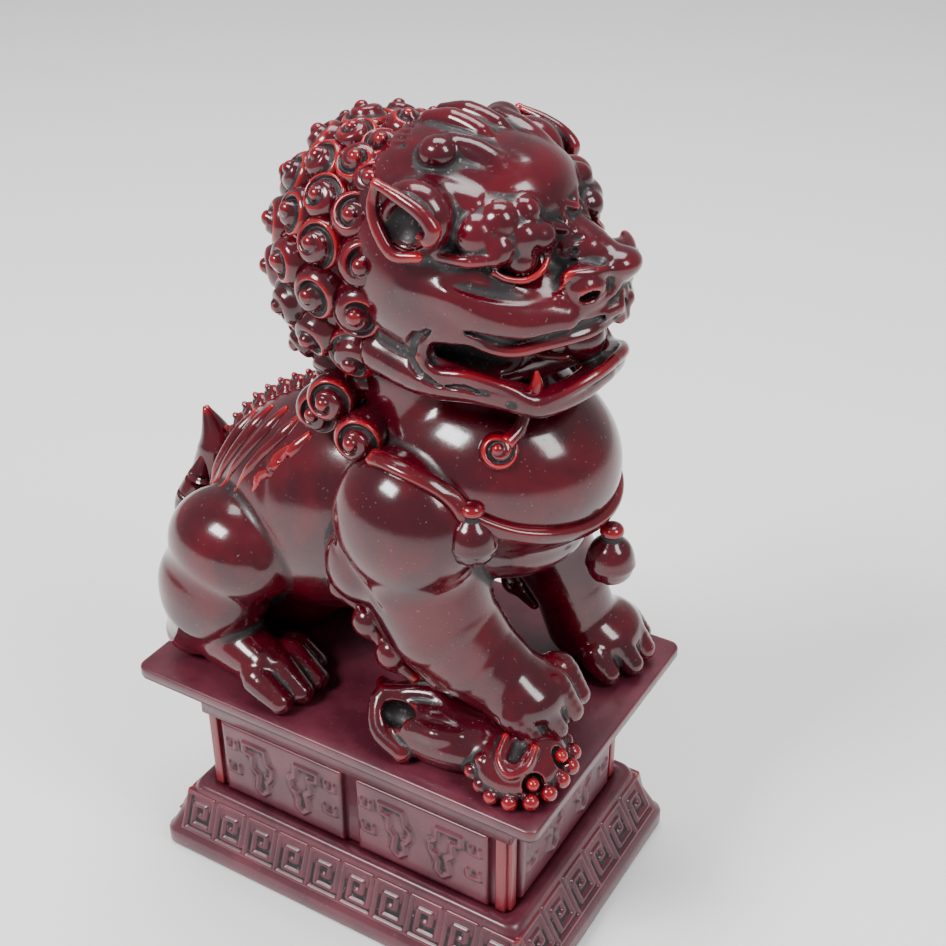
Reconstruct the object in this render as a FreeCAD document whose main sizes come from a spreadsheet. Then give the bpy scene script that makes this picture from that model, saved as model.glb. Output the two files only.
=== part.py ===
"""Seated guardian-lion statue on a rectangular plinth, with a cub under its right forepaw.

Frame: +X is where the lion looks, +Y is its left side, +Z is up. The origin is the middle of the
plinth's underside. Lengths are in millimetres. Every sub-part is written to parts/LABEL.step.
"""

import math
import os
import re

import FreeCAD
import Part
import Sketcher
from FreeCAD import Placement, Rotation, Vector

doc = FreeCAD.newDocument("FooDog")
sizes = doc.addObject("Spreadsheet::Sheet", "Sizes")

# alias, value: one row of the sheet each. Heights of the lion's parts are above the plinth's top.
DRIVING = """
foot_length 99.4
foot_width 67.4
foot_rim 4.6
foot_rise 13.2
foot_slope_inset 7.0
foot_corner 3.0
fret_depth 0.7
fret_margin 1.6
felt_depth 1.0
felt_margin 4.0
fit_gap 0.1
waist_inset 3.9
waist_rise 30.2
rail_height 10.0
panel_proud 1.5
panel_gap 3.9
panel_end_margin 4.0
cove_rise 2.8
slab_length 100.0
slab_width 68.4
slab_thickness 2.6
slab_corner 2.2
slab_edge 0.6
torso_x -14.0
torso_rise 38.6
torso_length 74.0
torso_width 47.0
torso_height 50.0
torso_tilt 27.0
chest_x 20.0
chest_rise 59.0
chest_length 52.0
chest_width 44.0
chest_height 42.0
rump_x -33
rump_length 38
rump_width 32
rump_height 34
haunch_x -30.0
haunch_rise 26.5
haunch_spread 20.0
haunch_length 38.0
haunch_width 27.0
haunch_height 38
hind_paw_x -24.5
hind_paw_spread 21.0
hind_paw_length 31.0
hind_paw_width 21.0
hind_paw_height 13.0
shoulder_x 13.0
shoulder_rise 51.0
shoulder_spread 20.5
shoulder_length 31.0
shoulder_width 24.0
shoulder_height 34.0
leg_top_thick 23.0
leg_ankle_thick 14.0
left_paw_x 38.0
left_paw_spread 21.5
right_paw_x 38.5
right_paw_spread 13.0
right_paw_rise 14.5
fore_paw_length 22.0
fore_paw_width 20.0
fore_paw_height 13.0
tuft_bead 5.0
tuft_count 4
skull_x 14.0
skull_rise 103.5
skull_length 44.0
skull_width 46.0
skull_height 40.0
muzzle_x 26.0
muzzle_rise 92.5
muzzle_length 44.0
muzzle_width 42.0
muzzle_height 20.0
jaw_x 22.0
jaw_rise 77.5
jaw_length 36.0
jaw_width 36.0
jaw_height 10.0
nose_x 41.0
nose_rise 100.5
nose_length 18.0
nose_width 20.0
nose_height 13.0
tongue_length 24.0
tongue_width 16.0
tongue_height 5.0
fang_height 5.0
fang_thick 3.4
fang_spread 12.5
eye_x 32.0
eye_rise 105.5
eye_spread 12.0
eye_width 7.5
brow_x 28.5
brow_rise 110.5
brow_spread 12.5
brow_length 15.0
brow_width 9.0
brow_height 8.0
ear_x 15.0
ear_rise 111.5
ear_spread 22.5
ear_length 13.0
ear_width 7.0
ear_height 17.0
ear_wall 1.4
mane_x -1.0
mane_rise 94.0
mane_length 50.0
mane_width 48.0
mane_height 60.0
curl_width 8.0
curl_height 4.4
crest_length 12.0
crest_width 9.0
beard_thick 9
beard_spread 9.5
beard_ahead 16
beard_drop 6
collar_x 14
collar_rise 68
collar_reach 37
collar_spread 24.5
collar_thick 2.2
collar_width 4.4
collar_tilt 30
bell_width 9
bell_height 11
bell_neck 4
bell_slot 1.2
bell_side_share 0.42
tail_x -51.0
tail_base_rise 16.0
tail_height 36.0
tail_length 11.0
tail_width 18.0
ridge_bead 4.6
lock_thick 3.0
lock_length 26.0
cub_x 20.0
cub_spread 19.5
cub_length 34.0
cub_width 17.0
cub_height 11.0
cub_head_x 39.5
cub_head_spread 19.0
cub_head_length 19.0
cub_head_width 21.0
cub_head_height 12.0
cub_ear_width 8.0
"""

for number, line in enumerate(DRIVING.split("\n")[1:-1], 1):
    alias, value = line.split()
    sizes.set(f"A{number}", alias)
    sizes.set(f"B{number}", value)
    sizes.setAlias(f"B{number}", alias)
doc.recompute()
ALIASES = [line.split()[0] for line in DRIVING.split("\n")[1:-1]]
WORDS = re.compile(r"\b(" + "|".join(sorted(ALIASES, key=len, reverse=True)) + r")\b")

# Values that several sub-parts share, worked out from the driving ones.
SHARED = {
    "foot_height": "foot_rim + foot_rise",
    "foot_top_length": "foot_length - 2 * foot_slope_inset",
    "foot_top_width": "foot_width - 2 * foot_slope_inset + 3.5",
    "core_length": "foot_top_length - 2 * waist_inset",
    "core_width": "foot_top_width - 2 * waist_inset",
    "rail_base": "foot_height + waist_rise - rail_height",
    "slab_base": "foot_height + waist_rise",
    "top": "foot_height + waist_rise + cove_rise + slab_thickness",
    "right_paw_z": "top + right_paw_rise",
    "left_paw_z": "top + fore_paw_height / 2",
    "shoulder_z": "top + shoulder_rise",
    "chest_z": "top + chest_rise",
    "jaw_z": "top + jaw_rise",
    "mane_z": "top + mane_rise",
    "head_z": "top + skull_rise",
    "muzzle_z": "top + muzzle_rise",
}
SIDES = {"right": -1, "left": 1}


def spelled(text):
    """The expression with its shared values written out and each alias naming its sheet."""
    text = str(text)
    for _ in range(3):
        for name, meaning in SHARED.items():
            text = re.sub(rf"\b{name}\b", f"({meaning})", text)
    return WORDS.sub(r"Sizes.\1", text)


PROBE = doc.addObject("App::FeaturePython", "Probe")
PROBE.addProperty("App::PropertyFloat", "Reading")


def value(text):
    """The number that an expression over the sheet gives now."""
    PROBE.setExpression("Reading", spelled(text))
    PROBE.recompute()
    return PROBE.Reading


def bind(item, **settings):
    """Ties properties to expressions; a double underscore stands for a dot in the property's path."""
    for path, text in settings.items():
        item.setExpression(path.replace("__", "."), spelled(text))
    return item


def place(item, at):
    return bind(item, Placement__Base__x=at[0], Placement__Base__y=at[1], Placement__Base__z=at[2])


# ---- building blocks


HALF_TURN = 180  # puts an ellipsoid's seam at its back without changing its shape
QUARTER_TURN = 90


def ball(name, at, size, pitch=None, turn=0, side_poles=False):
    """An ellipsoid of full size (x, y, z) about at. Pitch lifts its front; turn is about Z, in degrees.

    Its poles are at its top and bottom, or at its sides with side_poles, which keeps them off its seats.
    """
    item = doc.addObject("Part::Ellipsoid", name)
    length, width, height = (f"({each}) / 2" for each in size)
    if side_poles:
        bind(item, Radius2=length, Radius3=height, Radius1=width)
        item.Placement = Placement(Vector(), Rotation(Vector(1, 0, 0), QUARTER_TURN))
        return place(item, at)
    bind(item, Radius2=length, Radius3=width, Radius1=height)
    if pitch is None:
        item.Placement = Placement(Vector(), Rotation(Vector(0, 0, 1), turn))
    else:
        item.Placement = Placement(Vector(), Rotation(Vector(0, -1, 0), 1))
        bind(item, Placement__Rotation__Angle=pitch)
    return place(item, at)


def section(name, at, length, width, pitch=0):
    """A level ellipse for a loft, length along X and width along Y; pitch tips it about Y."""
    item = doc.addObject("Part::Ellipse", name)
    item.Placement = Placement(Vector(), Rotation(Vector(0, 1, 0), pitch))
    bind(item, MajorRadius=f"max(({length}) / 2; ({width}) / 2 + 0.01)", MinorRadius=f"({width}) / 2")
    return place(item, at)


def loft(name, sections):
    item = doc.addObject("Part::Loft", name)
    item.Sections = sections
    item.Solid = True
    return item


def group(name, pieces):
    item = doc.addObject("Part::MultiFuse", name)
    item.Shapes = pieces
    return item


def less(name, base, neighbours):
    """The base with its neighbours' room taken out of it, one after another."""
    item = base
    for number, other in enumerate(neighbours, 1):
        cut = doc.addObject("Part::Cut", f"{name}_cut{number}")
        cut.Base = item
        cut.Tool = other
        item = cut
    return item


NODES = {}


def node(label, item):
    """Keeps an object as a sub-part under its node name."""
    item.Label = label
    NODES[label] = item
    return item


def plane_of(body, role):
    return next(f for f in body.Origin.OriginFeatures if f.Role == role)


def rounded_sketch(body, name, length, width, corner, height):
    """A rounded rectangle about the Z axis, at the height given above the body's XY plane."""
    sketch = body.newObject("Sketcher::SketchObject", name)
    sketch.AttachmentSupport = [(plane_of(body, "XY_Plane"), "")]
    sketch.MapMode = "FlatFace"
    bind(sketch, AttachmentOffset__Base__z=height)
    half_x, half_y, radius = value(length) / 2, value(width) / 2, value(corner)
    inner_x, inner_y = half_x - radius, half_y - radius
    corners = [(inner_x, inner_y, 0), (-inner_x, inner_y, 90), (-inner_x, -inner_y, 180), (inner_x, -inner_y, 270)]
    ups = Vector(0, 0, 1)
    for x, y, start in corners:
        circle = Part.Circle(Vector(x, y, 0), ups, radius)
        sketch.addGeometry(Part.ArcOfCircle(circle, math.radians(start), math.radians(start + 90)))
    for first, second in ((0, 1), (1, 2), (2, 3), (3, 0)):
        begin = sketch.getPoint(first, 2)
        end = sketch.getPoint(second, 1)
        line = sketch.addGeometry(Part.LineSegment(begin, end))
        sketch.addConstraint(Sketcher.Constraint("Tangent", first, 2, line, 1))
        sketch.addConstraint(Sketcher.Constraint("Tangent", line, 2, second, 1))
        sketch.addConstraint(Sketcher.Constraint("Horizontal" if first in (0, 2) else "Vertical", line))
    for other in (1, 2):
        sketch.addConstraint(Sketcher.Constraint("Equal", 0, other))
    sketch.addConstraint(Sketcher.Constraint("Symmetric", 0, 3, 2, 3, -1, 1))
    for kind, name_of, size, ends in (
        ("DistanceX", "span_x", f"({length}) - 2 * ({corner})", (1, 3, 0, 3)),
        ("DistanceY", "span_y", f"({width}) - 2 * ({corner})", (3, 3, 0, 3)),
    ):
        index = sketch.addConstraint(Sketcher.Constraint(kind, *ends, value(size)))
        sketch.renameConstraint(index, name_of)
        sketch.setExpression(f"Constraints.{name_of}", spelled(size))
    index = sketch.addConstraint(Sketcher.Constraint("Radius", 0, radius))
    sketch.renameConstraint(index, "corner")
    sketch.setExpression("Constraints.corner", spelled(corner))
    return sketch


def new_body(label):
    body = doc.addObject("PartDesign::Body", label)
    doc.recompute()
    return body


def pad(body, name, sketch, length):
    item = body.newObject("PartDesign::Pad", name)
    item.Profile = sketch
    return bind(item, Length=length)


def body_loft(body, name, low, high):
    item = body.newObject("PartDesign::AdditiveLoft", name)
    item.Profile = low
    item.Sections = [high]
    item.Ruled = True
    return item


# ---- the plinth


def plinth_foot():
    """Flared foot: an upright rim, then a slope up to the ledge that the waist stands on."""
    body = new_body("plinth_foot")
    rim = rounded_sketch(body, "FootRim", "foot_length", "foot_width", "foot_corner", "0")
    pad(body, "FootRimPad", rim, "foot_rim")
    low = rounded_sketch(body, "FootSlopeLow", "foot_length", "foot_width", "foot_corner", "foot_rim")
    high = rounded_sketch(body, "FootSlopeHigh", "foot_top_length", "foot_top_width", "foot_corner", "foot_height")
    body_loft(body, "FootSlope", low, high)
    margin = "foot_length - 2 * felt_margin", "foot_width - 2 * felt_margin"
    seat = rounded_sketch(body, "FeltSeat", *margin, "foot_corner", "0")
    recess = body.newObject("PartDesign::Pocket", "FeltRecess")
    recess.Profile = seat
    recess.Reversed = True
    bind(recess, Length="felt_depth")
    node("plinth_foot", body)
    felt = new_body("base_felt")
    shrunk = tuple(f"{side} - 2 * fit_gap" for side in margin)
    outline = rounded_sketch(felt, "FeltOutline", *shrunk, "foot_corner", "0")
    pad(felt, "FeltPad", outline, "felt_depth")
    node("base_felt", felt)
    return body


def fret_band(foot):
    """Raised key-fret belt round the foot's slope."""
    blank = new_body("FretBlank")
    share = "fret_margin / foot_rise"
    grow = "2 * fret_depth"
    slope_x = "(foot_length - foot_top_length)"
    slope_y = "(foot_width - foot_top_width)"
    low = rounded_sketch(
        blank, "FretLow", f"foot_length - {slope_x} * {share} + {grow}",
        f"foot_width - {slope_y} * {share} + {grow}", "foot_corner", "foot_rim + fret_margin",
    )
    high = rounded_sketch(
        blank, "FretHigh", f"foot_top_length + {slope_x} * {share} + {grow}",
        f"foot_top_width + {slope_y} * {share} + {grow}", "foot_corner", "foot_height - fret_margin",
    )
    body_loft(blank, "FretSlope", low, high)
    node("fret_band", less("fret_band", blank, [foot]))


def plinth_waist():
    """Upright waist: a core, and a rail round its top that stands as proud as the panels."""
    body = new_body("plinth_waist")
    core = rounded_sketch(body, "WaistCore", "core_length", "core_width", "slab_edge", "foot_height")
    pad(body, "WaistCorePad", core, "waist_rise")
    sides = "core_length + 2 * panel_proud", "core_width + 2 * panel_proud"
    rail = rounded_sketch(body, "WaistRail", *sides, "slab_edge", "rail_base")
    pad(body, "WaistRailPad", rail, "rail_height")
    node("plinth_waist", body)


def box(name, low, size):
    item = doc.addObject("Part::Box", name)
    bind(item, Length=size[0], Width=size[1], Height=size[2])
    return place(item, low)


def waist_panels():
    """Carved panels on the waist: two on each long side with a slot between, and one on each end."""
    tall = "waist_rise - rail_height"
    run = "(core_length - panel_gap) / 2 - panel_end_margin"
    for side, sign in SIDES.items():
        face = "core_width / 2" if sign > 0 else "-core_width / 2 - panel_proud"
        for where, start in (("rear", f"-panel_gap / 2 - ({run})"), ("front", "panel_gap / 2")):
            label = f"panel_{side}_{where}"
            node(label, box(label, (start, face, "foot_height"), (run, "panel_proud", tall)))
    wide = "core_width - 2 * panel_end_margin"
    for label, face in (("panel_front", "core_length / 2"), ("panel_rear", "-core_length / 2 - panel_proud")):
        node(label, box(label, (face, f"-({wide}) / 2", "foot_height"), ("panel_proud", wide, tall)))


def plinth_slab():
    """Thin top slab that overhangs the waist on a cove."""
    body = new_body("plinth_slab")
    sides = "core_length + 2 * panel_proud", "core_width + 2 * panel_proud"
    low = rounded_sketch(body, "CoveLow", *sides, "slab_edge", "slab_base")
    high = rounded_sketch(body, "CoveHigh", "slab_length", "slab_width", "slab_corner", "slab_base + cove_rise")
    body_loft(body, "Cove", low, high)
    top = rounded_sketch(body, "SlabOutline", "slab_length", "slab_width", "slab_corner", "slab_base + cove_rise")
    pad(body, "SlabPad", top, "slab_thickness")
    node("plinth_slab", body)


# ---- the lion


def trunk(ring):
    """Torso, chest, haunches and shoulders, each seated against the ones before it."""
    torso = ball(
        "TorsoBall", ("torso_x", "0", "top + torso_rise"), ("torso_length", "torso_width", "torso_height"), "torso_tilt"
    )
    node("torso", torso)
    rump = ball("RumpBall", ("rump_x", "0", "top + rump_height * 0.45"), ("rump_length", "rump_width", "rump_height"))
    node("rump", less("Rump", rump, [torso, NODES["plinth_slab"]]))
    chest_at = "chest_x", "0", "chest_z"
    chest = ball("ChestBall", chest_at, ("chest_length", "chest_width", "chest_height"))
    node("chest", less("Chest", chest, [torso]))
    made = {"torso": torso, "rump": rump, "chest": chest}
    for side, sign in SIDES.items():
        haunch = ball(
            f"HaunchBall_{side}", ("haunch_x", f"{sign} * haunch_spread", "top + haunch_rise"),
            ("haunch_length", "haunch_width", "haunch_height"), side_poles=True,
        )
        node(f"haunch_{side}", less(f"Haunch_{side}", haunch, [torso, rump]))
        shoulder = ball(
            f"ShoulderBall_{side}", ("shoulder_x", f"{sign} * shoulder_spread", "shoulder_z"),
            ("shoulder_length", "shoulder_width", "shoulder_height"), side_poles=True,
        )
        node(f"shoulder_{side}", less(f"Shoulder_{side}", shoulder, [torso, chest, ring]))
        made[f"haunch_{side}"] = haunch
        made[f"shoulder_{side}"] = shoulder
    return made


def paw(name, at, length, width, height, toes=4):
    """A paw pointing along +X: a rounded back, and toes side by side at its front."""
    pieces = [ball(f"{name}_back", at, (length, width, height))]
    toe_width = f"({width}) / {toes} * 1.15"
    for number in range(toes):
        across = f"({at[1]}) + ({width}) * {(number + 0.5) / toes - 0.5}"
        outer = 1 - 0.12 * abs(number - (toes - 1) / 2)
        ahead = f"({at[0]}) + ({length}) * {0.3 * outer}"
        pieces.append(
            ball(f"{name}_toe{number + 1}", (ahead, across, f"({at[2]}) - ({height}) * 0.12"),
                 (f"({length}) * 0.5", toe_width, f"({height}) * 0.76"))
        )
    return group(name, pieces)


def lifted(at_z, height):
    """The middle height of a paw that stands on the slab, which trims its lowest tenth."""
    return f"{at_z} + ({height}) * 0.4"


def hind_legs(trunk_parts, slab):
    for side, sign in SIDES.items():
        foot = paw(
            f"HindPaw_{side}", ("hind_paw_x", f"{sign} * hind_paw_spread", lifted("top", "hind_paw_height")),
            "hind_paw_length", "hind_paw_width", "hind_paw_height",
        )
        seats = [slab, trunk_parts[f"haunch_{side}"], trunk_parts["torso"], trunk_parts["rump"]]
        node(f"hind_paw_{side}", less(f"HindPawSeat_{side}", foot, seats))


def between(first, last, share):
    return tuple(f"({a}) * {1 - share} + ({b}) * {share}" for a, b in zip(first, last))


def fore_legs(trunk_parts, slab, cub_parts):
    """Each foreleg is a loft from the shoulder's middle to the back of its paw."""
    paws = {
        "right": ("right_paw_x", "-right_paw_spread", "right_paw_z"),
        "left": ("left_paw_x", "left_paw_spread", lifted("top", "fore_paw_height")),
    }
    made = {}
    for side, sign in SIDES.items():
        at = paws[side]
        ankle = (f"{at[0]} - fore_paw_length * 0.2", at[1], at[2])
        top = ("shoulder_x + 4", f"{sign} * (shoulder_spread - 2)", "shoulder_z - 4")
        thick = "leg_top_thick", "leg_ankle_thick"
        rings = []
        for number, (share, swell) in enumerate(((0, 0.9), (0.3, 1), (0.7, 1), (1, 0.95))):
            wide = f"(({thick[0]}) * {1 - share} + ({thick[1]}) * {share}) * {swell}"
            rings.append(section(f"LegRing_{side}{number}", between(top, ankle, share), wide, f"({wide}) * 0.9"))
        leg = loft(f"LegLoft_{side}", rings)
        seats = [trunk_parts[f"shoulder_{side}"], trunk_parts["chest"], trunk_parts["torso"]]
        node(f"foreleg_{side}", less(f"ForeLeg_{side}", leg, seats))
        foot = paw(f"ForePaw_{side}", at, "fore_paw_length", "fore_paw_width", "fore_paw_height")
        under = [slab] if side == "left" else cub_parts
        node(f"fore_paw_{side}", less(f"ForePawSeat_{side}", foot, [leg, *under]))
        made[side] = leg
        tuft(side, top, ankle, leg, trunk_parts)
    return made


def tuft(side, top, ankle, leg, trunk_parts):
    """A row of beads down the back edge of the forearm."""
    beads = []
    for number in range(int(value("tuft_count"))):
        spot = between(top, ankle, 0.28 + 0.17 * number)
        behind = f"{spot[0]} - leg_top_thick * {0.52 - 0.05 * number}"
        size = ("tuft_bead * 1.2", "tuft_bead", "tuft_bead * 1.4")
        beads.append(ball(f"TuftBead_{side}{number}", (behind, spot[1], spot[2]), size))
    row = doc.addObject("Part::Compound", f"TuftRow_{side}")
    row.Links = beads
    seats = [leg, trunk_parts[f"shoulder_{side}"], trunk_parts["torso"], trunk_parts["chest"]]
    node(f"leg_tuft_{side}", less(f"Tuft_{side}", row, seats))


def cub(slab):
    """The cub on its back under the right forepaw: head to the front, hips and a bent leg behind."""
    body = ball(
        "CubBall", ("cub_x", "-cub_spread", "top + cub_height * 0.4"), ("cub_length", "cub_width", "cub_height")
    )
    head = ball(
        "CubHeadBall", ("cub_head_x", "-cub_head_spread", "top + cub_head_height * 0.4"),
        ("cub_head_length", "cub_head_width", "cub_head_height"),
    )
    node("cub_head", less("CubHead", head, [slab]))
    node("cub_body", less("CubBody", body, [slab, head]))
    knee = ball(
        "CubKneeBall", ("cub_x - cub_length * 0.32", "-cub_spread - cub_width * 0.1", "top + cub_height * 0.75"),
        ("cub_length * 0.45", "cub_width * 0.4", "cub_height * 0.6"),
    )
    node("cub_leg", less("CubLeg", knee, [body]))
    ears = []
    for sign in (-1, 1):
        at = ("cub_head_x - cub_head_length * 0.35", f"-cub_head_spread + {sign} * cub_head_width * 0.4",
              "top + cub_head_height * 0.75")
        size = "cub_ear_width", "cub_ear_width * 0.6", "cub_ear_width * 0.8"
        ears.append(ball(f"CubEarBall{sign + 1}", at, size, turn=HALF_TURN))
    pair = doc.addObject("Part::Compound", "CubEarPair")
    pair.Links = ears
    node("cub_ears", less("CubEars", pair, [head, body]))
    return [head, body, knee]


def head(trunk_parts):
    """Skull, muzzle, lower jaw and what sits on them, in front of the mane."""
    torso, chest = trunk_parts["torso"], trunk_parts["chest"]
    shoulders = [trunk_parts["shoulder_right"], trunk_parts["shoulder_left"]]
    mane = ball("ManeBall", ("mane_x", "0", "mane_z"), ("mane_length", "mane_width", "mane_height"))
    node("mane_cap", less("ManeCap", mane, [torso, chest, *shoulders]))
    skull = ball("SkullBall", ("skull_x", "0", "head_z"), ("skull_length", "skull_width", "skull_height"))
    node("skull", less("Skull", skull, [mane]))
    muzzle = ball("MuzzleBall", ("muzzle_x", "0", "muzzle_z"), ("muzzle_length", "muzzle_width", "muzzle_height"))
    node("muzzle", less("Muzzle", muzzle, [mane, skull]))
    jaw = ball("JawBall", ("jaw_x", "0", "jaw_z"), ("jaw_length", "jaw_width", "jaw_height"))
    node("lower_jaw", less("Jaw", jaw, [chest, mane]))
    nose = ball("NoseBall", ("nose_x", "0", "top + nose_rise"), ("nose_length", "nose_width", "nose_height"))
    node("nose", less("Nose", nose, [skull, muzzle]))
    tongue = ball(
        "TongueBall", ("jaw_x + 2", "0", "jaw_z + jaw_height / 2"), ("tongue_length", "tongue_width", "tongue_height")
    )
    node("tongue", less("Tongue", tongue, [jaw, mane, muzzle]))
    face = {"mane": mane, "skull": skull, "muzzle": muzzle, "jaw": jaw, "nose": nose}
    fangs(face)
    for side, sign in SIDES.items():
        face_side(side, sign, face)
    crest(face)
    beard(face, chest)
    return face


def fangs(face):
    cones = []
    for sign in (-1, 1):
        for where, base, top, foot in (("low", 0.5, 0.12, "jaw_z + jaw_height * 0.3"),
                                       ("high", 0.12, 0.5, "muzzle_z - muzzle_height * 0.3 - fang_height")):
            cone = doc.addObject("Part::Cone", f"Fang_{where}{sign + 1}")
            bind(cone, Radius1=f"fang_thick * {base}", Radius2=f"fang_thick * {top}", Height="fang_height")
            ahead = "jaw_x + jaw_length * 0.32" if where == "low" else "jaw_x + jaw_length * 0.3"
            cones.append(place(cone, (ahead, f"{sign} * fang_spread", foot)))
    row = doc.addObject("Part::Compound", "FangRow")
    row.Links = cones
    node("fangs", less("Fangs", row, [face["jaw"], face["muzzle"]]))


def face_side(side, sign, face):
    """The eye, brow and cupped ear of one side."""
    eye = ball(f"EyeBall_{side}", ("eye_x", f"{sign} * eye_spread", "top + eye_rise"), ("eye_width",) * 3)
    node(f"eye_{side}", less(f"Eye_{side}", eye, [face["skull"], face["muzzle"]]))
    brow = ball(
        f"BrowBall_{side}", ("brow_x", f"{sign} * brow_spread", "top + brow_rise"),
        ("brow_length", "brow_width", "brow_height"),
    )
    node(f"brow_{side}", less(f"Brow_{side}", brow, [face["skull"], eye, face["mane"]]))
    at = ("ear_x", f"{sign} * ear_spread", "top + ear_rise")
    outer = ball(f"EarOuter_{side}", at, ("ear_length", "ear_width", "ear_height"))
    hollow = ball(
        f"EarHollow_{side}", ("ear_x + ear_wall", f"{sign} * (ear_spread + ear_width * 0.4)", at[2]),
        ("ear_length - 2 * ear_wall", "ear_width", "ear_height - 2 * ear_wall"),
    )
    node(f"ear_{side}", less(f"Ear_{side}", outer, [hollow, face["skull"], face["mane"]]))


def dome(width, height, sink):
    """A curl as a plain button: an upright wall under a spherical cap, sunk below its own zero plane."""
    half, cap = width / 2, height * DOME_CAP_SHARE
    shoulder = height - cap
    radius = (half * half + cap * cap) / (2 * cap)
    middle = Vector(radius * math.sin(math.atan2(half, radius - cap) / 2), 0, 0)
    middle.z = height - radius + math.sqrt(radius * radius - middle.x * middle.x)
    corners = [Vector(0, 0, -sink), Vector(half, 0, -sink), Vector(half, 0, shoulder), Vector(0, 0, height)]
    edges = [
        Part.LineSegment(corners[0], corners[1]).toShape(),
        Part.LineSegment(corners[1], corners[2]).toShape(),
        Part.Arc(corners[2], middle, corners[3]).toShape(),
        Part.LineSegment(corners[3], corners[0]).toShape(),
    ]
    return Part.makeSolid(Part.Face(Part.Wire(edges)).revolve(Vector(), Vector(0, 0, 1), 360))


def on_ball(centre, size, around, up):
    """The point of an ellipsoid at the angle around from +X and the angle up, and the way out there."""
    a, e = math.radians(around), math.radians(up)
    unit = Vector(math.cos(e) * math.cos(a), math.cos(e) * math.sin(a), math.sin(e))
    half = Vector(*size) / 2
    spot = centre + Vector(unit.x * half.x, unit.y * half.y, unit.z * half.z)
    way = Vector(unit.x / half.x, unit.y / half.y, unit.z / half.z).normalize()
    return spot, way


# Share of a curl's height that its rounded cap takes.
DOME_CAP_SHARE = 0.6
# Rows of curls on the mane: angle up from level, curl size against curl_width, angles round from +X.
CURL_ROWS = {
    "crown": [(80, 0.9, (60, 180, 300)), (56, 0.95, (70, 115, 160, 200, 245, 290)), (38, 1, (79, 281))],
    "sides": [(20, 1, (76, 284)), (0, 1.05, (80, 280)), (-22, 1.05, (82, 278)), (-44, 1.05, (84, 276))],
    "nape": [(38, 0.95, (102, 134, 166, 194, 226, 258)), (18, 1, (105, 130, 155, 180, 205, 230, 255)),
             (-2, 1, (108, 132, 156, 180, 204, 228, 252)), (-22, 1, (110, 134, 158, 182, 206, 226, 250)),
             (-42, 0.95, (112, 140, 168, 192, 220, 248))],
}


def mane_curls(face, trunk_parts):
    centre = Vector(value("mane_x"), 0, value("mane_z"))
    size = [value(f"mane_{word}") for word in ("length", "width", "height")]
    width, height = value("curl_width"), value("curl_height")
    for name, rows in CURL_ROWS.items():
        curls = []
        for up, share, angles in rows:
            for around in angles:
                spot, way = on_ball(centre, size, around, up)
                curl = dome(width * share, height * share, height)
                curl.Placement = Placement(spot, Rotation(Vector(0, 0, 1), way))
                curls.append(curl)
        item = doc.addObject("Part::Feature", f"Curls_{name}")
        item.Shape = Part.makeCompound(curls)
        node(f"mane_curls_{name}", less(f"ManeCurls_{name}", item, [face["mane"], face["skull"]]))


def crest(face):
    """Two forelock scrolls on the forehead and the boss between the brows."""
    locks = []
    for sign in (-1, 1):
        at = ("skull_x + skull_length * 0.12", f"{sign} * crest_width * 0.7", "head_z + skull_height * 0.47")
        locks.append(ball(f"ForelockBall{sign + 1}", at, ("crest_length", "crest_width", "crest_width * 0.7")))
    boss = ball("BrowBoss", ("skull_x + skull_length * 0.44", "0", "head_z + skull_height * 0.28"),
                ("crest_length * 0.7", "crest_width", "crest_width"))
    node("brow_boss", less("BrowBossSeat", boss, [face["skull"]]))
    pair = doc.addObject("Part::Compound", "ForelockPair")
    pair.Links = locks
    node("forelocks", less("Forelocks", pair, [face["skull"], face["mane"]]))


def beard(face, chest):
    """Two beard scrolls that hang from the jaw onto the chest."""
    drops = []
    for sign in (-1, 1):
        at = ("chest_x + beard_ahead", f"{sign} * beard_spread", "jaw_z - beard_drop")
        size = ("beard_thick", "beard_thick", "beard_thick * 1.3")
        drops.append(ball(f"BeardBall{sign + 1}", at, size))
    pair = doc.addObject("Part::Compound", "BeardPair")
    pair.Links = drops
    node("beard_scrolls", less("Beard", pair, [face["jaw"], chest]))


def collar_ring():
    """The strap before it is seated: an upright elliptical ring, tilted down at its front."""
    body = new_body("CollarRing")
    sketch = body.newObject("Sketcher::SketchObject", "CollarRingOutline")
    sketch.AttachmentSupport = [(plane_of(body, "XY_Plane"), "")]
    sketch.MapMode = "FlatFace"
    for name, inset in (("outer", "0"), ("inner", "collar_thick * 1.6")):
        half_long, half_wide = (f"{half} - {inset}" for half in ("collar_reach", "collar_spread"))
        centre, long_end, wide_end = Vector(), Vector(value(half_long), 0, 0), Vector(0, value(half_wide), 0)
        ellipse = sketch.addGeometry(Part.Ellipse(long_end, wide_end, centre))
        sketch.exposeInternalGeometry(ellipse)
        sketch.addConstraint(Sketcher.Constraint("Coincident", ellipse, 3, -1, 1))
        major, minor = ellipse + 1, ellipse + 2
        sketch.addConstraint(Sketcher.Constraint("PointOnObject", major, 1, -1))
        for axis, kind, size in ((major, f"{name}_long", half_long), (minor, f"{name}_wide", half_wide)):
            number = sketch.addConstraint(Sketcher.Constraint("Distance", axis, 2 * value(size)))
            sketch.renameConstraint(number, kind)
            sketch.setExpression(f"Constraints.{kind}", spelled(f"2 * ({size})"))
    ring = pad(body, "CollarRingPad", sketch, "collar_width")
    ring.Midplane = True
    body.Placement = Placement(Vector(), Rotation(Vector(0, 1, 0), 1))
    bind(body, Placement__Rotation__Angle="collar_tilt")
    return place(body, ("collar_x", "0", "top + collar_rise"))


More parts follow.
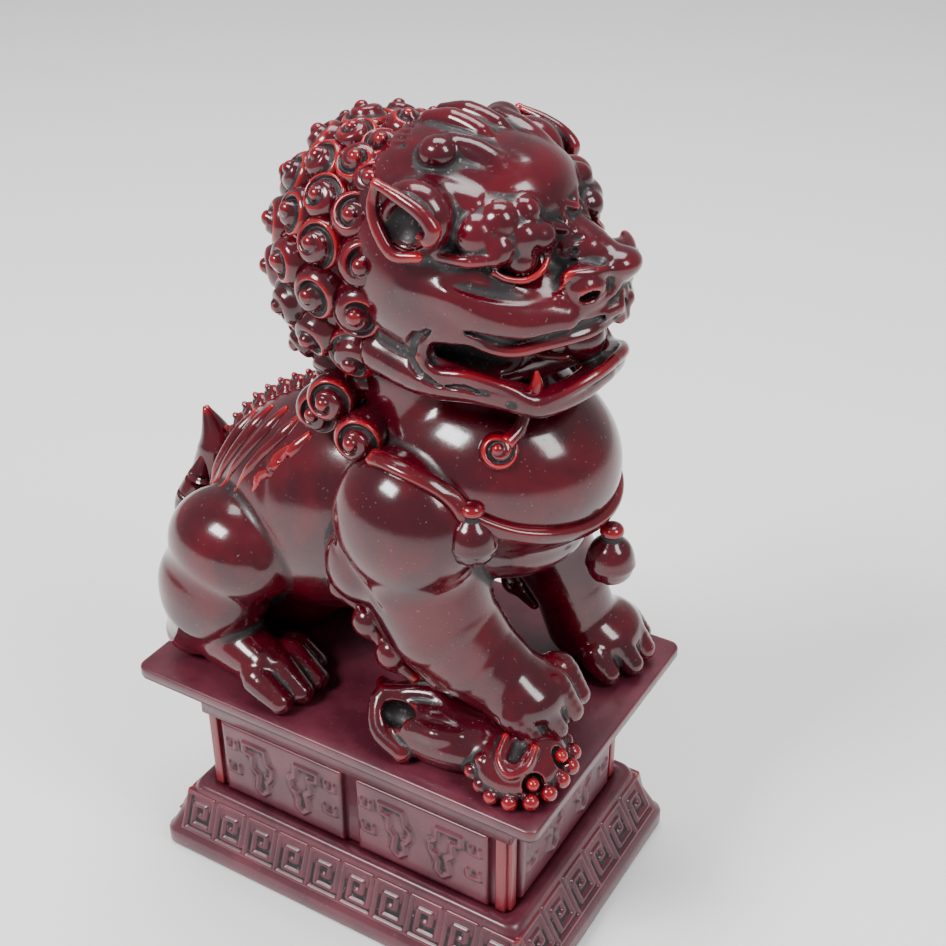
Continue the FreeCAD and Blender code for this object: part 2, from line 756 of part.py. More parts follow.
def collar(ring, trunk_parts, face):
    """Strap that runs round the chest and up under the mane."""
    keep_out = box(
        "CollarRearRoom", ("collar_x - 2 * collar_reach", "-2 * collar_spread", "chest_z - chest_height"),
        ("2 * collar_reach - collar_thick", "4 * collar_spread", "2 * chest_height + collar_reach"),
    )
    node("collar_strap", less("Collar", ring, [keep_out, trunk_parts["chest"], trunk_parts["torso"], face["mane"]]))


def bell(name, at, seats):
    """A jingle bell: a globe with a slot under it and a neck that meets the strap."""
    body = new_body(f"Bell_{name}")
    sketch = body.newObject("Sketcher::SketchObject", f"BellOutline_{name}")
    sketch.AttachmentSupport = [(plane_of(body, "XZ_Plane"), "")]
    sketch.MapMode = "FlatFace"
    radius, neck = value("bell_width / 2"), value("bell_neck / 2")
    top = value("bell_height - bell_width / 2")
    join = math.sqrt(radius * radius - neck * neck)
    up = math.atan2(join, neck)
    globe = sketch.addGeometry(Part.ArcOfCircle(Part.Circle(Vector(), Vector(0, 0, 1), radius), -math.pi / 2, up))
    corners = [(neck, join), (neck, top), (0, top), (0, -radius)]
    lines = []
    for first, second in zip(corners, corners[1:]):
        lines.append(sketch.addGeometry(Part.LineSegment(Vector(*first, 0), Vector(*second, 0))))
    for first, second in ((globe, lines[0]), (lines[0], lines[1]), (lines[1], lines[2])):
        sketch.addConstraint(Sketcher.Constraint("Coincident", first, 2, second, 1))
    sketch.addConstraint(Sketcher.Constraint("Coincident", lines[2], 2, globe, 1))
    sketch.addConstraint(Sketcher.Constraint("Coincident", globe, 3, -1, 1))
    for line, kind in zip(lines, ("Vertical", "Horizontal")):
        sketch.addConstraint(Sketcher.Constraint(kind, line))
    sketch.addConstraint(Sketcher.Constraint("PointOnObject", lines[2], 1, -2))
    sketch.addConstraint(Sketcher.Constraint("PointOnObject", lines[2], 2, -2))
    for kind, spots, name_of, size in (
        ("Radius", (globe,), "globe", "bell_width / 2"),
        ("DistanceX", (-1, 1, lines[0], 1), "neck", "bell_neck / 2"),
        ("DistanceY", (-1, 1, lines[0], 2), "height", "bell_height - bell_width / 2"),
    ):
        number = sketch.addConstraint(Sketcher.Constraint(kind, *spots, value(size)))
        sketch.renameConstraint(number, name_of)
        sketch.setExpression(f"Constraints.{name_of}", spelled(size))
    turned = body.newObject("PartDesign::Revolution", f"BellGlobe_{name}")
    turned.Profile = sketch
    turned.ReferenceAxis = (sketch, ["V_Axis"])
    turned.Angle = 360
    slot = rounded_sketch(
        body, f"BellSlotOutline_{name}", "bell_slot", "bell_width * 2", "bell_slot * 0.2", "-bell_width / 2"
    )
    cut = body.newObject("PartDesign::Pocket", f"BellSlot_{name}")
    cut.Profile = slot
    cut.Reversed = True
    bind(cut, Length="bell_width * 0.2")
    place(body, at)
    node(f"bell_{name}", less(f"BellSeat_{name}", body, seats))


def bells(ring, trunk_parts):
    """A bell at the strap's front and one on each side of it."""
    low = "bell_height - bell_width / 2 + collar_width * 0.3"
    seats = [ring, trunk_parts["chest"]]
    front = "collar_x + collar_reach * cos(collar_tilt) + bell_width * 0.1"
    bell("front", (front, "0", f"top + collar_rise - collar_reach * sin(collar_tilt) - ({low})"), seats)
    share = "bell_side_share"
    for side, sign in SIDES.items():
        at = (
            f"collar_x + collar_reach * {share} * cos(collar_tilt)",
            f"{sign} * (collar_spread * sqrt(1 - {share} ^ 2) + bell_width * 0.1)",
            f"top + collar_rise - collar_reach * {share} * sin(collar_tilt) - ({low})",
        )
        bell(side, at, [*seats, trunk_parts[f"shoulder_{side}"], trunk_parts["torso"]])


def back(trunk_parts, face):
    """The tail plume, the bead ridge down the spine and the combed locks below the mane."""
    torso = trunk_parts["torso"]
    rings = []
    for number, (share, wide, lean) in enumerate(((0, 0.7, 0.1), (0.35, 1, -0.1), (0.7, 0.6, 0.1), (1, 0.12, 0.15))):
        at = (f"tail_x + tail_length * {lean}", "0", f"top + tail_base_rise + tail_height * {share}")
        rings.append(section(f"TailRing{number}", at, f"tail_length * {wide}", f"tail_width * {wide}"))
    plume = loft("TailPlume", rings)
    haunches = [trunk_parts["haunch_right"], trunk_parts["haunch_left"]]
    node("tail_plume", less("Tail", plume, [torso, trunk_parts["rump"], *haunches]))
    centre = Vector(value("torso_x"), 0, value("top + torso_rise"))
    tilt = Rotation(Vector(0, -1, 0), value("torso_tilt"))
    size = [value(f"torso_{word}") for word in ("length", "width", "height")]
    bead = value("ridge_bead")
    beads = []
    for up in (82, 95, 108, 121, 134):
        spot, way = on_ball(Vector(), size, 0, up)
        ball_shape = Part.makeSphere(bead / 2)
        ball_shape.Placement = Placement(centre + tilt.multVec(spot), Rotation())
        beads.append(ball_shape)
    ridge = doc.addObject("Part::Feature", "RidgeBeads")
    ridge.Shape = Part.makeCompound(beads)
    node("spine_ridge", less("Ridge", ridge, [torso, face["mane"], plume]))


def build():
    foot = plinth_foot()
    fret_band(foot)
    plinth_waist()
    waist_panels()
    plinth_slab()
    slab = NODES["plinth_slab"]
    ring = collar_ring()
    parts = trunk(ring)
    cub_parts = cub(slab)
    hind_legs(parts, slab)
    fore_legs(parts, slab, cub_parts)
    face = head(parts)
    mane_curls(face, parts)
    collar(ring, parts, face)
    bells(ring, parts)
    back(parts, face)


def check():
    """Stops the build on any object that failed to compute or any sub-part without a sound solid."""
    failed = [f"{item.Name}: {item.getStatusString()}" for item in doc.Objects if {"Invalid", "Error"} & set(item.State)]
    if failed:
        raise RuntimeError(f"these objects failed: {failed}")
    for label, item in NODES.items():
        shape = item.Shape
        if shape.isNull() or not shape.isValid() or not shape.Solids:
            raise RuntimeError(f"{label} has no sound solid")


def export():
    os.makedirs("parts", exist_ok=True)
    for old in os.listdir("parts"):
        os.remove(os.path.join("parts", old))
    for label, item in NODES.items():
        item.Shape.exportStep(f"parts/{label}.step")
        print(f"{label:24s} solids {len(item.Shape.Solids):3d}  volume {item.Shape.Volume:10.1f}")


build()
doc.recompute()
check()
export()
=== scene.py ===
import math

import bpy
import numpy as np
from mathutils import Matrix, Vector


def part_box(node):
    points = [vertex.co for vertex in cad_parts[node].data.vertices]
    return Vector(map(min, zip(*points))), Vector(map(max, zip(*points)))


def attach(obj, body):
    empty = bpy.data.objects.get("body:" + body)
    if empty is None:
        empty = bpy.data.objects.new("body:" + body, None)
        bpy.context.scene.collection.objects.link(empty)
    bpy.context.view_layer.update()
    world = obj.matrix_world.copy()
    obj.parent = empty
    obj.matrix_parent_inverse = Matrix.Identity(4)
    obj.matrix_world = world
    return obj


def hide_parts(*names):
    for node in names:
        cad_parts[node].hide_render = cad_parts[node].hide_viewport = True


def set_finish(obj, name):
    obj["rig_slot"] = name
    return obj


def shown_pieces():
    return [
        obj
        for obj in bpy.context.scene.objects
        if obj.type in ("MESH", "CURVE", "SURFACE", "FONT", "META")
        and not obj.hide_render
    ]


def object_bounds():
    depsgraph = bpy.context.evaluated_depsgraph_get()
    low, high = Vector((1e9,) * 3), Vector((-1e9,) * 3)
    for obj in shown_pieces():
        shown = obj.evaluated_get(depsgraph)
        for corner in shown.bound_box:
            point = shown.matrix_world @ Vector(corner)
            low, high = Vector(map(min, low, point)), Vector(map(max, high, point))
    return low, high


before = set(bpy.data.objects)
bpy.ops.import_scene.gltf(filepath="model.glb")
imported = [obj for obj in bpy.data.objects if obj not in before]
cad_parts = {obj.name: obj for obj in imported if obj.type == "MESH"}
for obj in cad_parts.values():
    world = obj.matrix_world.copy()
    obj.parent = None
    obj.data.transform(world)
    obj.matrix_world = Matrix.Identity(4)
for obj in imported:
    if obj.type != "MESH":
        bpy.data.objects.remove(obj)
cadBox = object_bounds()
mm = 0.001  # every size below is in millimetres
draft = bool(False)  # coarser carving while working


# Places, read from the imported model.

middles = {node: np.array((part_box(node)[0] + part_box(node)[1]) / 2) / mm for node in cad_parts}


def middleOf(node):
    return middles[node]


def by(node, x, y, z):  # a point so many millimetres from the middle of a node
    return middleOf(node) + (x, y, z)


def route(node, *offsets):  # several such points, as rows
    return middleOf(node) + np.array(offsets, float)


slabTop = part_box("plinth_slab")[1].z / mm


# Carving kit: a form is a function of points that is negative inside it.

def lengthOf(v):
    return np.sqrt((v * v).sum(-1))


def turned(p, axis, degrees):  # points turned about an axis through the origin
    spin = np.array(Matrix.Rotation(math.radians(degrees), 3, axis))
    return p @ spin


# ellipsoid: scaled length less one, over its slope; pitch lifts the front
def egg(p, centre, radii, pitch=0.0):
    q = p - centre
    if pitch:
        q = turned(q, "Y", -pitch)
    q = q / radii
    k = lengthOf(q)
    return k * (k - 1) / np.maximum(lengthOf(q / radii), 1e-6)


def limb(p, points, radii):
    # round tube of changing radius along a run of points: least distance to a leg, less the radius there
    points = np.asarray(points, float)
    radii = np.broadcast_to(np.asarray(radii, float), len(points))
    best = np.full(len(p), 1e9)
    for a, b, ra, rb in zip(points, points[1:], radii, radii[1:]):
        along = b - a
        t = np.clip((p - a) @ along / (along @ along), 0, 1)
        gap = p - a - t[:, None] * along
        best = np.minimum(best, lengthOf(gap) - (ra + (rb - ra) * t))
    return best


def join(a, b, soft):  # smooth least of two forms, rounded over the width soft
    h = np.clip(0.5 + 0.5 * (b - a) / soft, 0, 1)
    return b + (a - b) * h - soft * h * (1 - h)


def carve(a, b, soft):  # a with b taken out of it, its edge rounded
    return -join(-a, b, soft)


# a run of points and its radii made smooth, with per legs between neighbours
def curved(points, radii, per=4):
    points = np.asarray(points, float)
    radii = np.broadcast_to(np.asarray(radii, float), len(points))
    if len(points) < 3 or radii.max() > 5:
        return points, radii
    count = (len(points) - 1) * per + 1
    share = np.linspace(0, len(points) - 1, count)
    return smoothRoute(points, count), np.interp(share, np.arange(len(points)), radii)


class Form:
    # a field built up step by step; each step only touches the points near its own shape
    def __init__(self, p):
        self.p = p
        self.d = np.full(len(p), 60.0)

    def near(self, low, high, reach):
        return np.flatnonzero(np.all((self.p > low - reach) & (self.p < high + reach), axis=1))

    def apply(self, low, high, make, how, soft):
        reach = soft * 2 + 5
        pick = self.near(np.asarray(low), np.asarray(high), reach)
        if len(pick):
            self.d[pick] = how(self.d[pick], make(self.p[pick]), soft)

    def egg(self, centre, radii, soft=2.0, pitch=0.0, how=join):
        radii = np.asarray(radii, float)
        span = radii.max() if pitch else radii
        self.apply(centre - span, centre + span, lambda p: egg(p, centre, radii, pitch), how, soft)

    def limb(self, points, radii, soft=2.0, how=join):
        points, radii = curved(points, radii)
        span = np.max(radii)
        self.apply(points.min(0) - span, points.max(0) + span, lambda p: limb(p, points, radii), how,
                   soft)

    def groove(self, points, width, depth):
        # a rounded furrow (or a ridge where depth is negative) that follows a run of points over the surface
        points = curved(points, 0.0)[0]
        pick = self.near(points.min(0), points.max(0), 3 * width + 2)
        if len(pick):
            away = limb(self.p[pick], points, 0.0)
            self.d[pick] += depth * np.exp(-((away / width) ** 2))


def mirrored(p):  # points folded to the left side
    return p * (1, 0, 1) + np.abs(p * (0, 1, 0))


# Meshing: one point in each cell that the surface crosses, at the mean of its edge crossings, and a face
# round each crossed grid edge. Then every point slides down the field's slope onto the surface.
def carved(name, field, low, high, cell):
    low, high = np.asarray(low, float), np.asarray(high, float)
    coarse = cell * 4
    blocks = np.ceil((high - low) / coarse).astype(int)
    count = blocks * 4 + 1
    mids = [low[i] + (np.arange(blocks[i]) + 0.5) * coarse for i in range(3)]
    centres = np.stack(np.meshgrid(*mids, indexing="ij"), -1).reshape(-1, 3)
    hot = (np.abs(field(centres)) < coarse * 1.35).reshape(blocks)
    wanted = np.zeros(count, bool)
    for corner in np.ndindex(5, 5, 5):
        spans = tuple(slice(c, c + 4 * blocks[i] - 3, 4) for i, c in enumerate(corner))
        wanted[spans] |= hot
    values = np.full(count, 9.0, np.float32)
    spots = np.argwhere(wanted)
    values[wanted] = inParts(field, low + spots * cell)
    inside = values < 0
    cells = count - 1
    corners = list(np.ndindex(2, 2, 2))
    full = np.zeros(cells, np.int8)
    for c in corners:
        full += inside[tuple(slice(c[i], c[i] + cells[i]) for i in range(3))]
    active = (full > 0) & (full < 8)
    where = np.argwhere(active)
    sums = np.zeros((len(where), 3))
    number = np.zeros(len(where))
    for c in corners:
        for axis in range(3):
            if c[axis]:
                continue
            end = list(c)
            end[axis] = 1
            va = values[tuple((where + c).T)]
            vb = values[tuple((where + end).T)]
            cross = (va < 0) != (vb < 0)
            t = np.where(cross, va / np.where(cross, va - vb, 1), 0)
            point = np.array(c) + np.eye(3)[axis] * t[:, None]
            sums += point * cross[:, None]
            number += cross
    verts = low + (where + sums / number[:, None]) * cell
    index = np.full(cells, -1, np.int32)
    index[tuple(where.T)] = np.arange(len(where))
    faces = []
    for axis in range(3):
        u, v = (axis + 1) % 3, (axis + 2) % 3
        span = [slice(1, n - 1) for n in count]
        startSpan = list(span)
        startSpan[axis] = slice(0, count[axis] - 1)
        endSpan = list(span)
        endSpan[axis] = slice(1, count[axis])
        a, b = inside[tuple(startSpan)], inside[tuple(endSpan)]
        edges = np.argwhere(a != b)
        shift = np.ones(3, int)
        shift[axis] = 0
        base = edges + shift
        leaving = a[tuple(edges.T)]
        ring = []
        for du, dv in ((-1, -1), (0, -1), (0, 0), (-1, 0)):
            cellAt = base.copy()
            cellAt[:, u] += du
            cellAt[:, v] += dv
            ring.append(index[tuple(cellAt.T)])
        ring = np.stack(ring, 1)
        ring[~leaving] = ring[~leaving][:, ::-1]
        faces.append(ring)
    faces = np.concatenate(faces)
    faces = faces[(faces >= 0).all(1)]
    for _ in range(2):
        slope, d = slopes(field, verts, cell * 0.25)
        step = d[:, None] * slope / np.maximum((slope * slope).sum(1), 0.2)[:, None]
        verts -= np.clip(step, -cell, cell)
    print(f"{name}: {len(verts)} points, {len(faces)} faces")
    return verts, faces


def inParts(field, p, size=400000):
    return np.concatenate([field(p[i:i + size]) for i in range(0, len(p), size)])


def slopes(field, p, step):  # field's slope at each point, by differences along four crossed directions
    ways = np.array([(1, -1, -1), (-1, -1, 1), (-1, 1, -1), (1, 1, 1)], float)
    total = np.zeros_like(p)
    mean = np.zeros(len(p))
    for way in ways:
        d = inParts(field, p + way * step)
        total += d[:, None] * way
        mean += d
    return total / (4 * step), mean / 4


def newPiece(name, verts, faces, node, slot, replaced=(), smooth=True):
    # a mesh from rows of points (in millimetres) and faces, riding on the statue in place of its plain nodes
    mesh = bpy.data.meshes.new(name)
    verts = np.asarray(verts, float) * mm
    if isinstance(faces, np.ndarray):
        mesh.vertices.add(len(verts))
        mesh.vertices.foreach_set("co", verts.ravel())
        mesh.loops.add(faces.size)
        mesh.loops.foreach_set("vertex_index", faces.ravel().astype(np.int32))
        mesh.polygons.add(len(faces))
        mesh.polygons.foreach_set("loop_start", np.arange(0, faces.size, faces.shape[1], dtype=np.int32))
        mesh.update(calc_edges=True)
        mesh.validate()
    else:
        mesh.from_pydata(verts.tolist(), [], faces)
        mesh.update()
    mesh.polygons.foreach_set("use_smooth", np.full(len(mesh.polygons), smooth))
    piece = bpy.data.objects.new(name, mesh)
    bpy.context.scene.collection.objects.link(piece)
    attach(piece, "root")
    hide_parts(node, *replaced)
    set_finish(piece, slot)
    return piece


# The head: one carved form, worked out on the left side and mirrored.

headLooks = {
    "lipBead": 1.05,
    "lipGroove": 1.3,
}


def headField(p):
    f = Form(mirrored(p))
    # skull, cheeks, forehead and temples
    f.egg(by("skull", -7.3, 0, -1.3), (22, 21.5, 20.5))
    f.egg(by("skull", 4.7, 0, 8.2), (10.5, 13, 8.5), 4)
    f.egg(by("skull", -2.3, 12.5, -8.8), (17.5, 10.5, 12), 5)
    f.limb(route("skull", (-9.3, 14.5, 10.2), (-3.3, 14.5, 9.4), (3.7, 13, 8.2), (9.2, 10.5, 7.2)),
           (2.5, 4.6, 4.2, 2.6), 1.2)
    # forelocks: a scroll with a long tail over the forehead, and two short locks between
    f.limb(route("skull", (-3.8, 8.5, 16.7), (0.7, 7.3, 15.8), (5.1, 6.6, 13.8), (8.7, 4.2, 11.6),
                 (12.2, 2.2, 8.8)),
           (2.6, 2.9, 2.9, 2.6, 1.4), 0.8)
    f.egg(by("skull", -4.3, 10.6, 16.2), (3.6, 3.6, 3.2), 0.6)
    f.limb(route("skull", (-11.3, 2.4, 18.7), (-6.3, 2.4, 19.2), (-0.8, 2.6, 17.7), (2.7, 3, 15.2)),
           (1.6, 2.2, 2.1, 1.2), 0.6)
    for k in range(5):
        f.groove(route("skull", (-24.3, 3, 19.2), (-16.3, 3, 18.7), (-8.3, 3.5, 16.2),
                       (-0.3, 4, 13.7)) + (0, 1.7 * k, -0.4 * k), 0.5, 0.6)
    # upper lip mass, snout and cheek ridge
    f.egg(by("muzzle", -4.1, 0, 5.1), (18.5, 19, 6.5), 3)
    f.limb(route("muzzle", (-14.6, 20, 8.1), (-7.6, 19.6, 7.8), (-2.6, 18, 5.4), (3.4, 15.2, 3.6),
                 (8.9, 10.5, 3.6)),
           (2.6, 3.2, 3.2, 3.2, 2.8), 1.5)
    f.limb(route("nose", (-9.4, 0, 5.3), (-3.4, 0, 2.3), (2.1, 0, 1.1)), (5.2, 5, 3.6), 2)
    f.egg(by("nose", 3.6, 0, 2.1), (3.4, 4.2, 2.6), 1)
    # nostril wings with their dark holes, and the lip fold under the nose
    f.egg(by("nose", -0.4, 6.4, -0.3), (4, 4.6, 3.4), 1.2)
    f.limb(route("nose", (-2.7, 11.6, 0.7), (-1, 10.4, 2.5), (2.1, 6.6, 2.5), (3.8, 2.6, 1.5),
                 (3.4, 3.4, -2.1),
              (0.6, 8.6, -3.5), (-2.4, 11.4, -1.7)), 0.9, 1)
    f.egg(by("nose", 1.4, 8.4, -1.1), (2.4, 1.9, 1.2), 0.5, how=carve)
    f.limb(route("muzzle", (7.9, 11.5, 2.1), (11.9, 7, 3), (14.4, 2, 4.1)), (1.6, 1.7, 1.7), 0.8)
    f.limb(route("muzzle", (14, 0.8, 6.1), (14.8, 0.8, 1.6)), (1.4, 1.2), 0.8)
    # chin and jaw: a band that drops at its front corners
    f.egg(by("lower_jaw", -9.1, 0, 6.1), (18, 18, 9), 4)
    f.limb(route("lower_jaw", (-18.1, 17.5, 6.1), (-8.1, 18.6, 4.3), (0.9, 17.6, 4.1), (6.9, 15.3, 2.7),
                 (11.1, 12.6, 1.1),
                            (15.4, 7.5, 2.5), (16.9, 0, 3.6)), (4.5, 4, 3.2, 2.9, 2.7, 2.6, 2.6), 2)
    # mouth: an open slot with a solid core behind the teeth
    slot = route("lower_jaw", (-3.6, 21.5, 10.3), (1.9, 19.5, 9.7), (6.9, 17, 8.5), (11.4, 13.6, 7.7),
                 (15.9, 8.5, 8.9),
                (18.9, 0, 10.5))
    f.limb(slot, (2.6, 3.5, 4.1, 4, 2.6, 1.6), 0.7, how=carve)
    f.limb((slot * (1, 0.8, 1) - (2, 0, 0))[:4], (2.4, 3.2, 3.4, 3), 0.8, how=carve)
    # the palate closes the mouth behind its front opening
    f.limb(route("lower_jaw", (3.9, 0, 7.1), (11.9, 0, 9.1)), (8, 5), 1)
    # lips: rolled edges with a furrow outside them
    upper = route("muzzle", (-12.9, 21.4, -4.2), (-12.2, 21.3, -1.5), (-10.1, 20.9, 0.4),
                  (-7.8, 20.3, 0.9), (-4, 19.4, 0.2),
                 (0.2, 17.9, -1.1), (3.4, 16.2, -1.3), (6.8, 13.9, -0.3), (10, 10.6, 0.3),
                 (12.6, 6.5, 0.9),
                 (14, 0, 2.2))
    lower = route("lower_jaw", (-7.4, 21.4, 9.3), (-6.3, 21.2, 7.4), (-4.1, 20.7, 6.5), (0.5, 19.7, 6.7),
                  (4.9, 18, 5.5),
                 (8.5, 16.1, 3.9), (11.3, 14.2, 1.9), (14.1, 12, 2.7), (16.7, 9, 4.3), (18.8, 4.6, 5.7),
                 (19.3, 0, 6.1))
    f.groove(upper + (0.4, 0.5, 2.1), 0.75, headLooks["lipGroove"])
    f.groove((lower + (0.2, 0.4, -1.9))[1:6], 0.6, headLooks["lipGroove"] * 0.7)
    f.groove(route("muzzle", (-13, 22, -7), (-14.7, 22, -5.4), (-14.9, 22, -2.6), (-13.2, 22, 0.2)), 0.75,
             headLooks["lipGroove"])
    f.limb(upper, headLooks["lipBead"], 0.4)
    f.limb(lower, headLooks["lipBead"] * 1.1, 0.5)
    # eye socket, lids and the furrow under them
    f.egg(by("eye_left", 0.5, -0.3, -0.3), (4.6, 4.6, 3.4), 1, how=carve)
    f.limb(route("eye_left", (-9.5, 10.2, -2.1), (-5.6, 8.5, -2.7), (-1.4, 6.5, -3.5), (3, 3.7, -3.9),
                 (6, 0.3, -2.9),
              (6.2, -3.3, -0.9)), (0.8, 1.5, 1.9, 1.9, 1.7, 1), 0.7, how=carve)
    f.limb(route("eye_left", (-11, 8.1, 1.1), (-6, 7.2, 1.1), (-2, 5.3, 1.5)), (0.8, 1.2, 1), 1)
    f.limb(route("eye_left", (-2.4, 4.7, -1.1), (-0.4, 3.5, -2.3), (2, 1.3, -2.7), (3.6, -1.3, -1.5),
                 (3.4, -3.7, 0.7)),
           0.6, 0.9)
    f.egg(by("eye_left", -1, -0.7, -0.1), (3.6, 3.3, 3.3), 0.3)
    # brow: a cloud of lobes over the eye
    for x, y, z, r in ((6.2, 15.6, 5.4, 4.1), (8.9, 13, 7.3, 3.8), (9.9, 15.2, 3.6, 3.1),
                       (12.3, 11.2, 4.8, 3.5),
                       (14.3, 8.8, 4.4, 2.9), (11.7, 9.6, 8.6, 2.8)):
        f.egg(by("skull", x, y, z), (r, r, r), 0.9)
    # the folded leaf between the brows, and the wrinkles of the snout
    f.limb(route("brow_boss", (-3.3, 8.8, 0.4), (0.9, 3, -1.8), (2.9, 0, -3.2)), 0.8, 0.5)
    f.limb(route("brow_boss", (-0.7, 8.4, -3.6), (2.7, 4, -5.8), (3.9, 0, -6.6)), 0.9, 0.5)
    f.limb(route("brow_boss", (0.9, 3, -1.8), (3.7, 3, -6.4)), 0.7, 0.5)
    for lift in (0, 1.7, 3.4):
        f.groove(route("nose", (-6.4, 7.4, 1.8), (-3.9, 5.6, 2.3),
                       (-1.9, 3, 2.7)) + (lift * -0.35, 0, lift), 0.5, 0.8)
    # ear: a cupped leaf with a rolled rim that hooks in at its front
    f.egg(by("ear_left", 2, -2.8, 0.7), (7, 5.2, 6.6), 1.4)
    f.egg(by("ear_left", 2.2, 3.3, 0.4), (4, 4.6, 4.3), 0.8, how=carve)
    f.limb(route("ear_left", (-2.8, 1.5, 7.1), (1.8, 1.9, 5.7), (6, 2.1, 3.9), (8.4, 2.1, 1.5),
                 (7.6, 2.3, -0.5),
              (6, 1.9, -0.3)), (0.8, 1.2, 1.3, 1.5, 1.2, 0.8), 0.4)
    f.limb(route("ear_left", (-2.8, 1.5, 7.1), (-3.6, 1.7, 3.1), (-2.2, 2.3, -0.7), (1, 2.7, -4.1),
                 (5.4, 2.1, -3.9)),
           (0.8, 1.1, 1.2, 1.2, 0.9), 0.4)
    return f.d


# The lion's body, legs and paws: one carved form standing on the slab.

def sided(node, side, *offsets):  # points by the middle of a node's right or left twin, mirrored with it
    name = f"{node}_{'left' if side > 0 else 'right'}"
    return middleOf(name) + np.array(offsets, float) * (1, side, 1)


def toes(f, rows, radius, back):
    # each toe is a limb from the paw's back over its knuckle to its tip
    for knuckle, tip in rows:
        f.limb([back * 0.4 + knuckle * 0.6, knuckle, tip], (radius, radius * 1.15, radius * 0.85), 0.5)


def bodyField(p):
    f = Form(p)
    f.egg(by("torso", 0, 0, 0), (37, 23.5, 25), 2, pitch=27)
    f.egg(by("rump", -0.8, 0, 1.9), (18, 16, 16), 4)
    f.egg(by("chest", -12.9, 0, 15.6), (15, 17, 16), 4)
    f.egg(by("chest", -0.9, 0, 0), (26.5, 22.5, 20), 3)
    f.egg(by("chest", 1.1, 0, -13.4), (18.5, 17, 11.5), 1.5)
    for side in (-1, 1):
        # haunch in two swells, hock, and the splayed hind foot
        f.egg(sided("haunch", side, (0, -2.5, 4.6))[0], (15.5, 12.5, 12.5), 1.8)
        f.egg(sided("haunch", side, (-5, -0.5, -5.9))[0], (13, 11.5, 12), 2)
        f.limb(sided("haunch", side, (-7, 1, -11.9), (-12, 1, -19.9)), (9, 6), 3)
        f.limb(sided("hind_paw", side, (-19, -2, -1), (-8, 1, 2), (3, 4, 0.5)), (5.5, 7.5, 5.5), 2)
        heel = sided("hind_paw", side, (-6, 1, 0))[0]
        toes(f, [sided("hind_paw", side, (4.5, 7.8, -0.4), (10.8, 8.9, -3)),
                 sided("hind_paw", side, (6.5, 3.4, 0.4), (12.8, 4.2, -2.8)),
                 sided("hind_paw", side, (6.5, -1.2, 0.2), (12.8, -1, -3)),
                 sided("hind_paw", side, (3.5, -5.2, -1), (9, -5.6, -3.2))], 3.3, heel)
        # shoulder and elbow
        f.egg(sided("shoulder", side, (1, -1, 0.6))[0], (15, 12, 15.5), 1.4)
        f.egg(sided("shoulder", side, (-8, 1, -10.4))[0], (8, 7, 9), 1.2)
    # right foreleg, braced on the cub
    f.limb(route("foreleg_right", (-11.7, -0.7, 7.9), (-7.7, -0.7, -1.1), (-1.2, 1, -9.1),
                 (5.3, 2.8, -14.6)), (12.5, 11.5, 9.5, 8), 2)
    f.limb(route("foreleg_right", (-18.7, -2.2, 1.9), (-12.7, -3.2, -6.1), (-5.7, -2.7, -13.1)),
           (6, 5, 4), 1.6)
    f.egg(route("fore_paw_right", (-2.9, 0, -0.4))[0], (8.5, 9, 6.5), 2)
    wrist = route("fore_paw_right", (-5.9, 0, 0.6))[0]
    toes(f, [route("fore_paw_right", (-1.9, -6.4, -1.3), (2.1, -5.8, -6.5)),
             route("fore_paw_right", (0.7, -2, 0.1), (4.7, -1.2, -5.7)),
             route("fore_paw_right", (1.7, 2.6, 1.5), (5.7, 3.4, -3.9)),
             route("fore_paw_right", (0.9, 7, 2.1), (5.1, 7.4, -2.9))], 3.1, wrist)
    # left foreleg, planted on the slab
    f.limb(route("foreleg_left", (-8.1, -1.1, 14.6), (-2.1, -1.1, 2.6), (3.4, -0.3, -8.4),
                 (5.9, 0.9, -17.4)), (12, 9.5, 8, 8), 2)
    f.egg(route("fore_paw_left", (-2.4, 0, 1.3))[0], (9, 10, 6.5), 2)
    wrist = route("fore_paw_left", (-5.4, 0, 1.8))[0]
    toes(f, [route("fore_paw_left", (0, -7.9, 0.4), (3.6, -8.3, -3)),
             route("fore_paw_left", (2.6, -2.9, 1.2), (6.6, -2.9, -2.8)),
             route("fore_paw_left", (2.6, 2.7, 1.2), (6.6, 3.1, -2.8)),
             route("fore_paw_left", (-0.4, 7.5, 0.4), (3.2, 8.3, -3))], 3.1, wrist)
    # flame locks down the back edge of each foreleg
    for side in (-1, 1):
        if side < 0:
            drops = route("leg_tuft_right", (-18.3, -5.4, 3.6), (-12.2, -5.9, -2.8), (-6.4, -5.9, -8.6))
        else:
            drops = route("leg_tuft_left", (-10.7, -2.6, 4.5), (-4.6, -2.1, -1.9), (1.2, -2.1, -7.7))
        for drop, r in zip(drops, (2.9, 3.2, 3.5)):
            f.egg(drop, (r, r * 0.9, r * 1.1), 0.4)
            f.limb([drop + (0.5, 0, -1), drop + (5, -side * 0.6, -4.6)], (r * 0.7, r * 0.35), 0.5)
    # furrows: shoulder fold, forearm sinews and ribs
    f.groove(route("foreleg_right", (-19.7, -9.7, -0.1), (-13.7, -9.2, -7.1), (-5.7, -6.2, -13.6)), 0.7,
             0.9)
    for side in (-1, 1):
        f.groove(sided("shoulder", side, (-11, 6.5, -1.4), (-5, 9, -8.4), (0, 8.5, -14.4)), 0.8, 1)
        ribs = sided("haunch", side, (18, -3, 32.1), (21, 4, 22.1), (21, 5, 12.1))
        for k in range(3):
            f.groove(ribs - np.array(((5, 0, 3), (5, 0, 3), (4, 0, 2))) * k, 1.3, 0.8)
    return f.d


# The cub on its back.

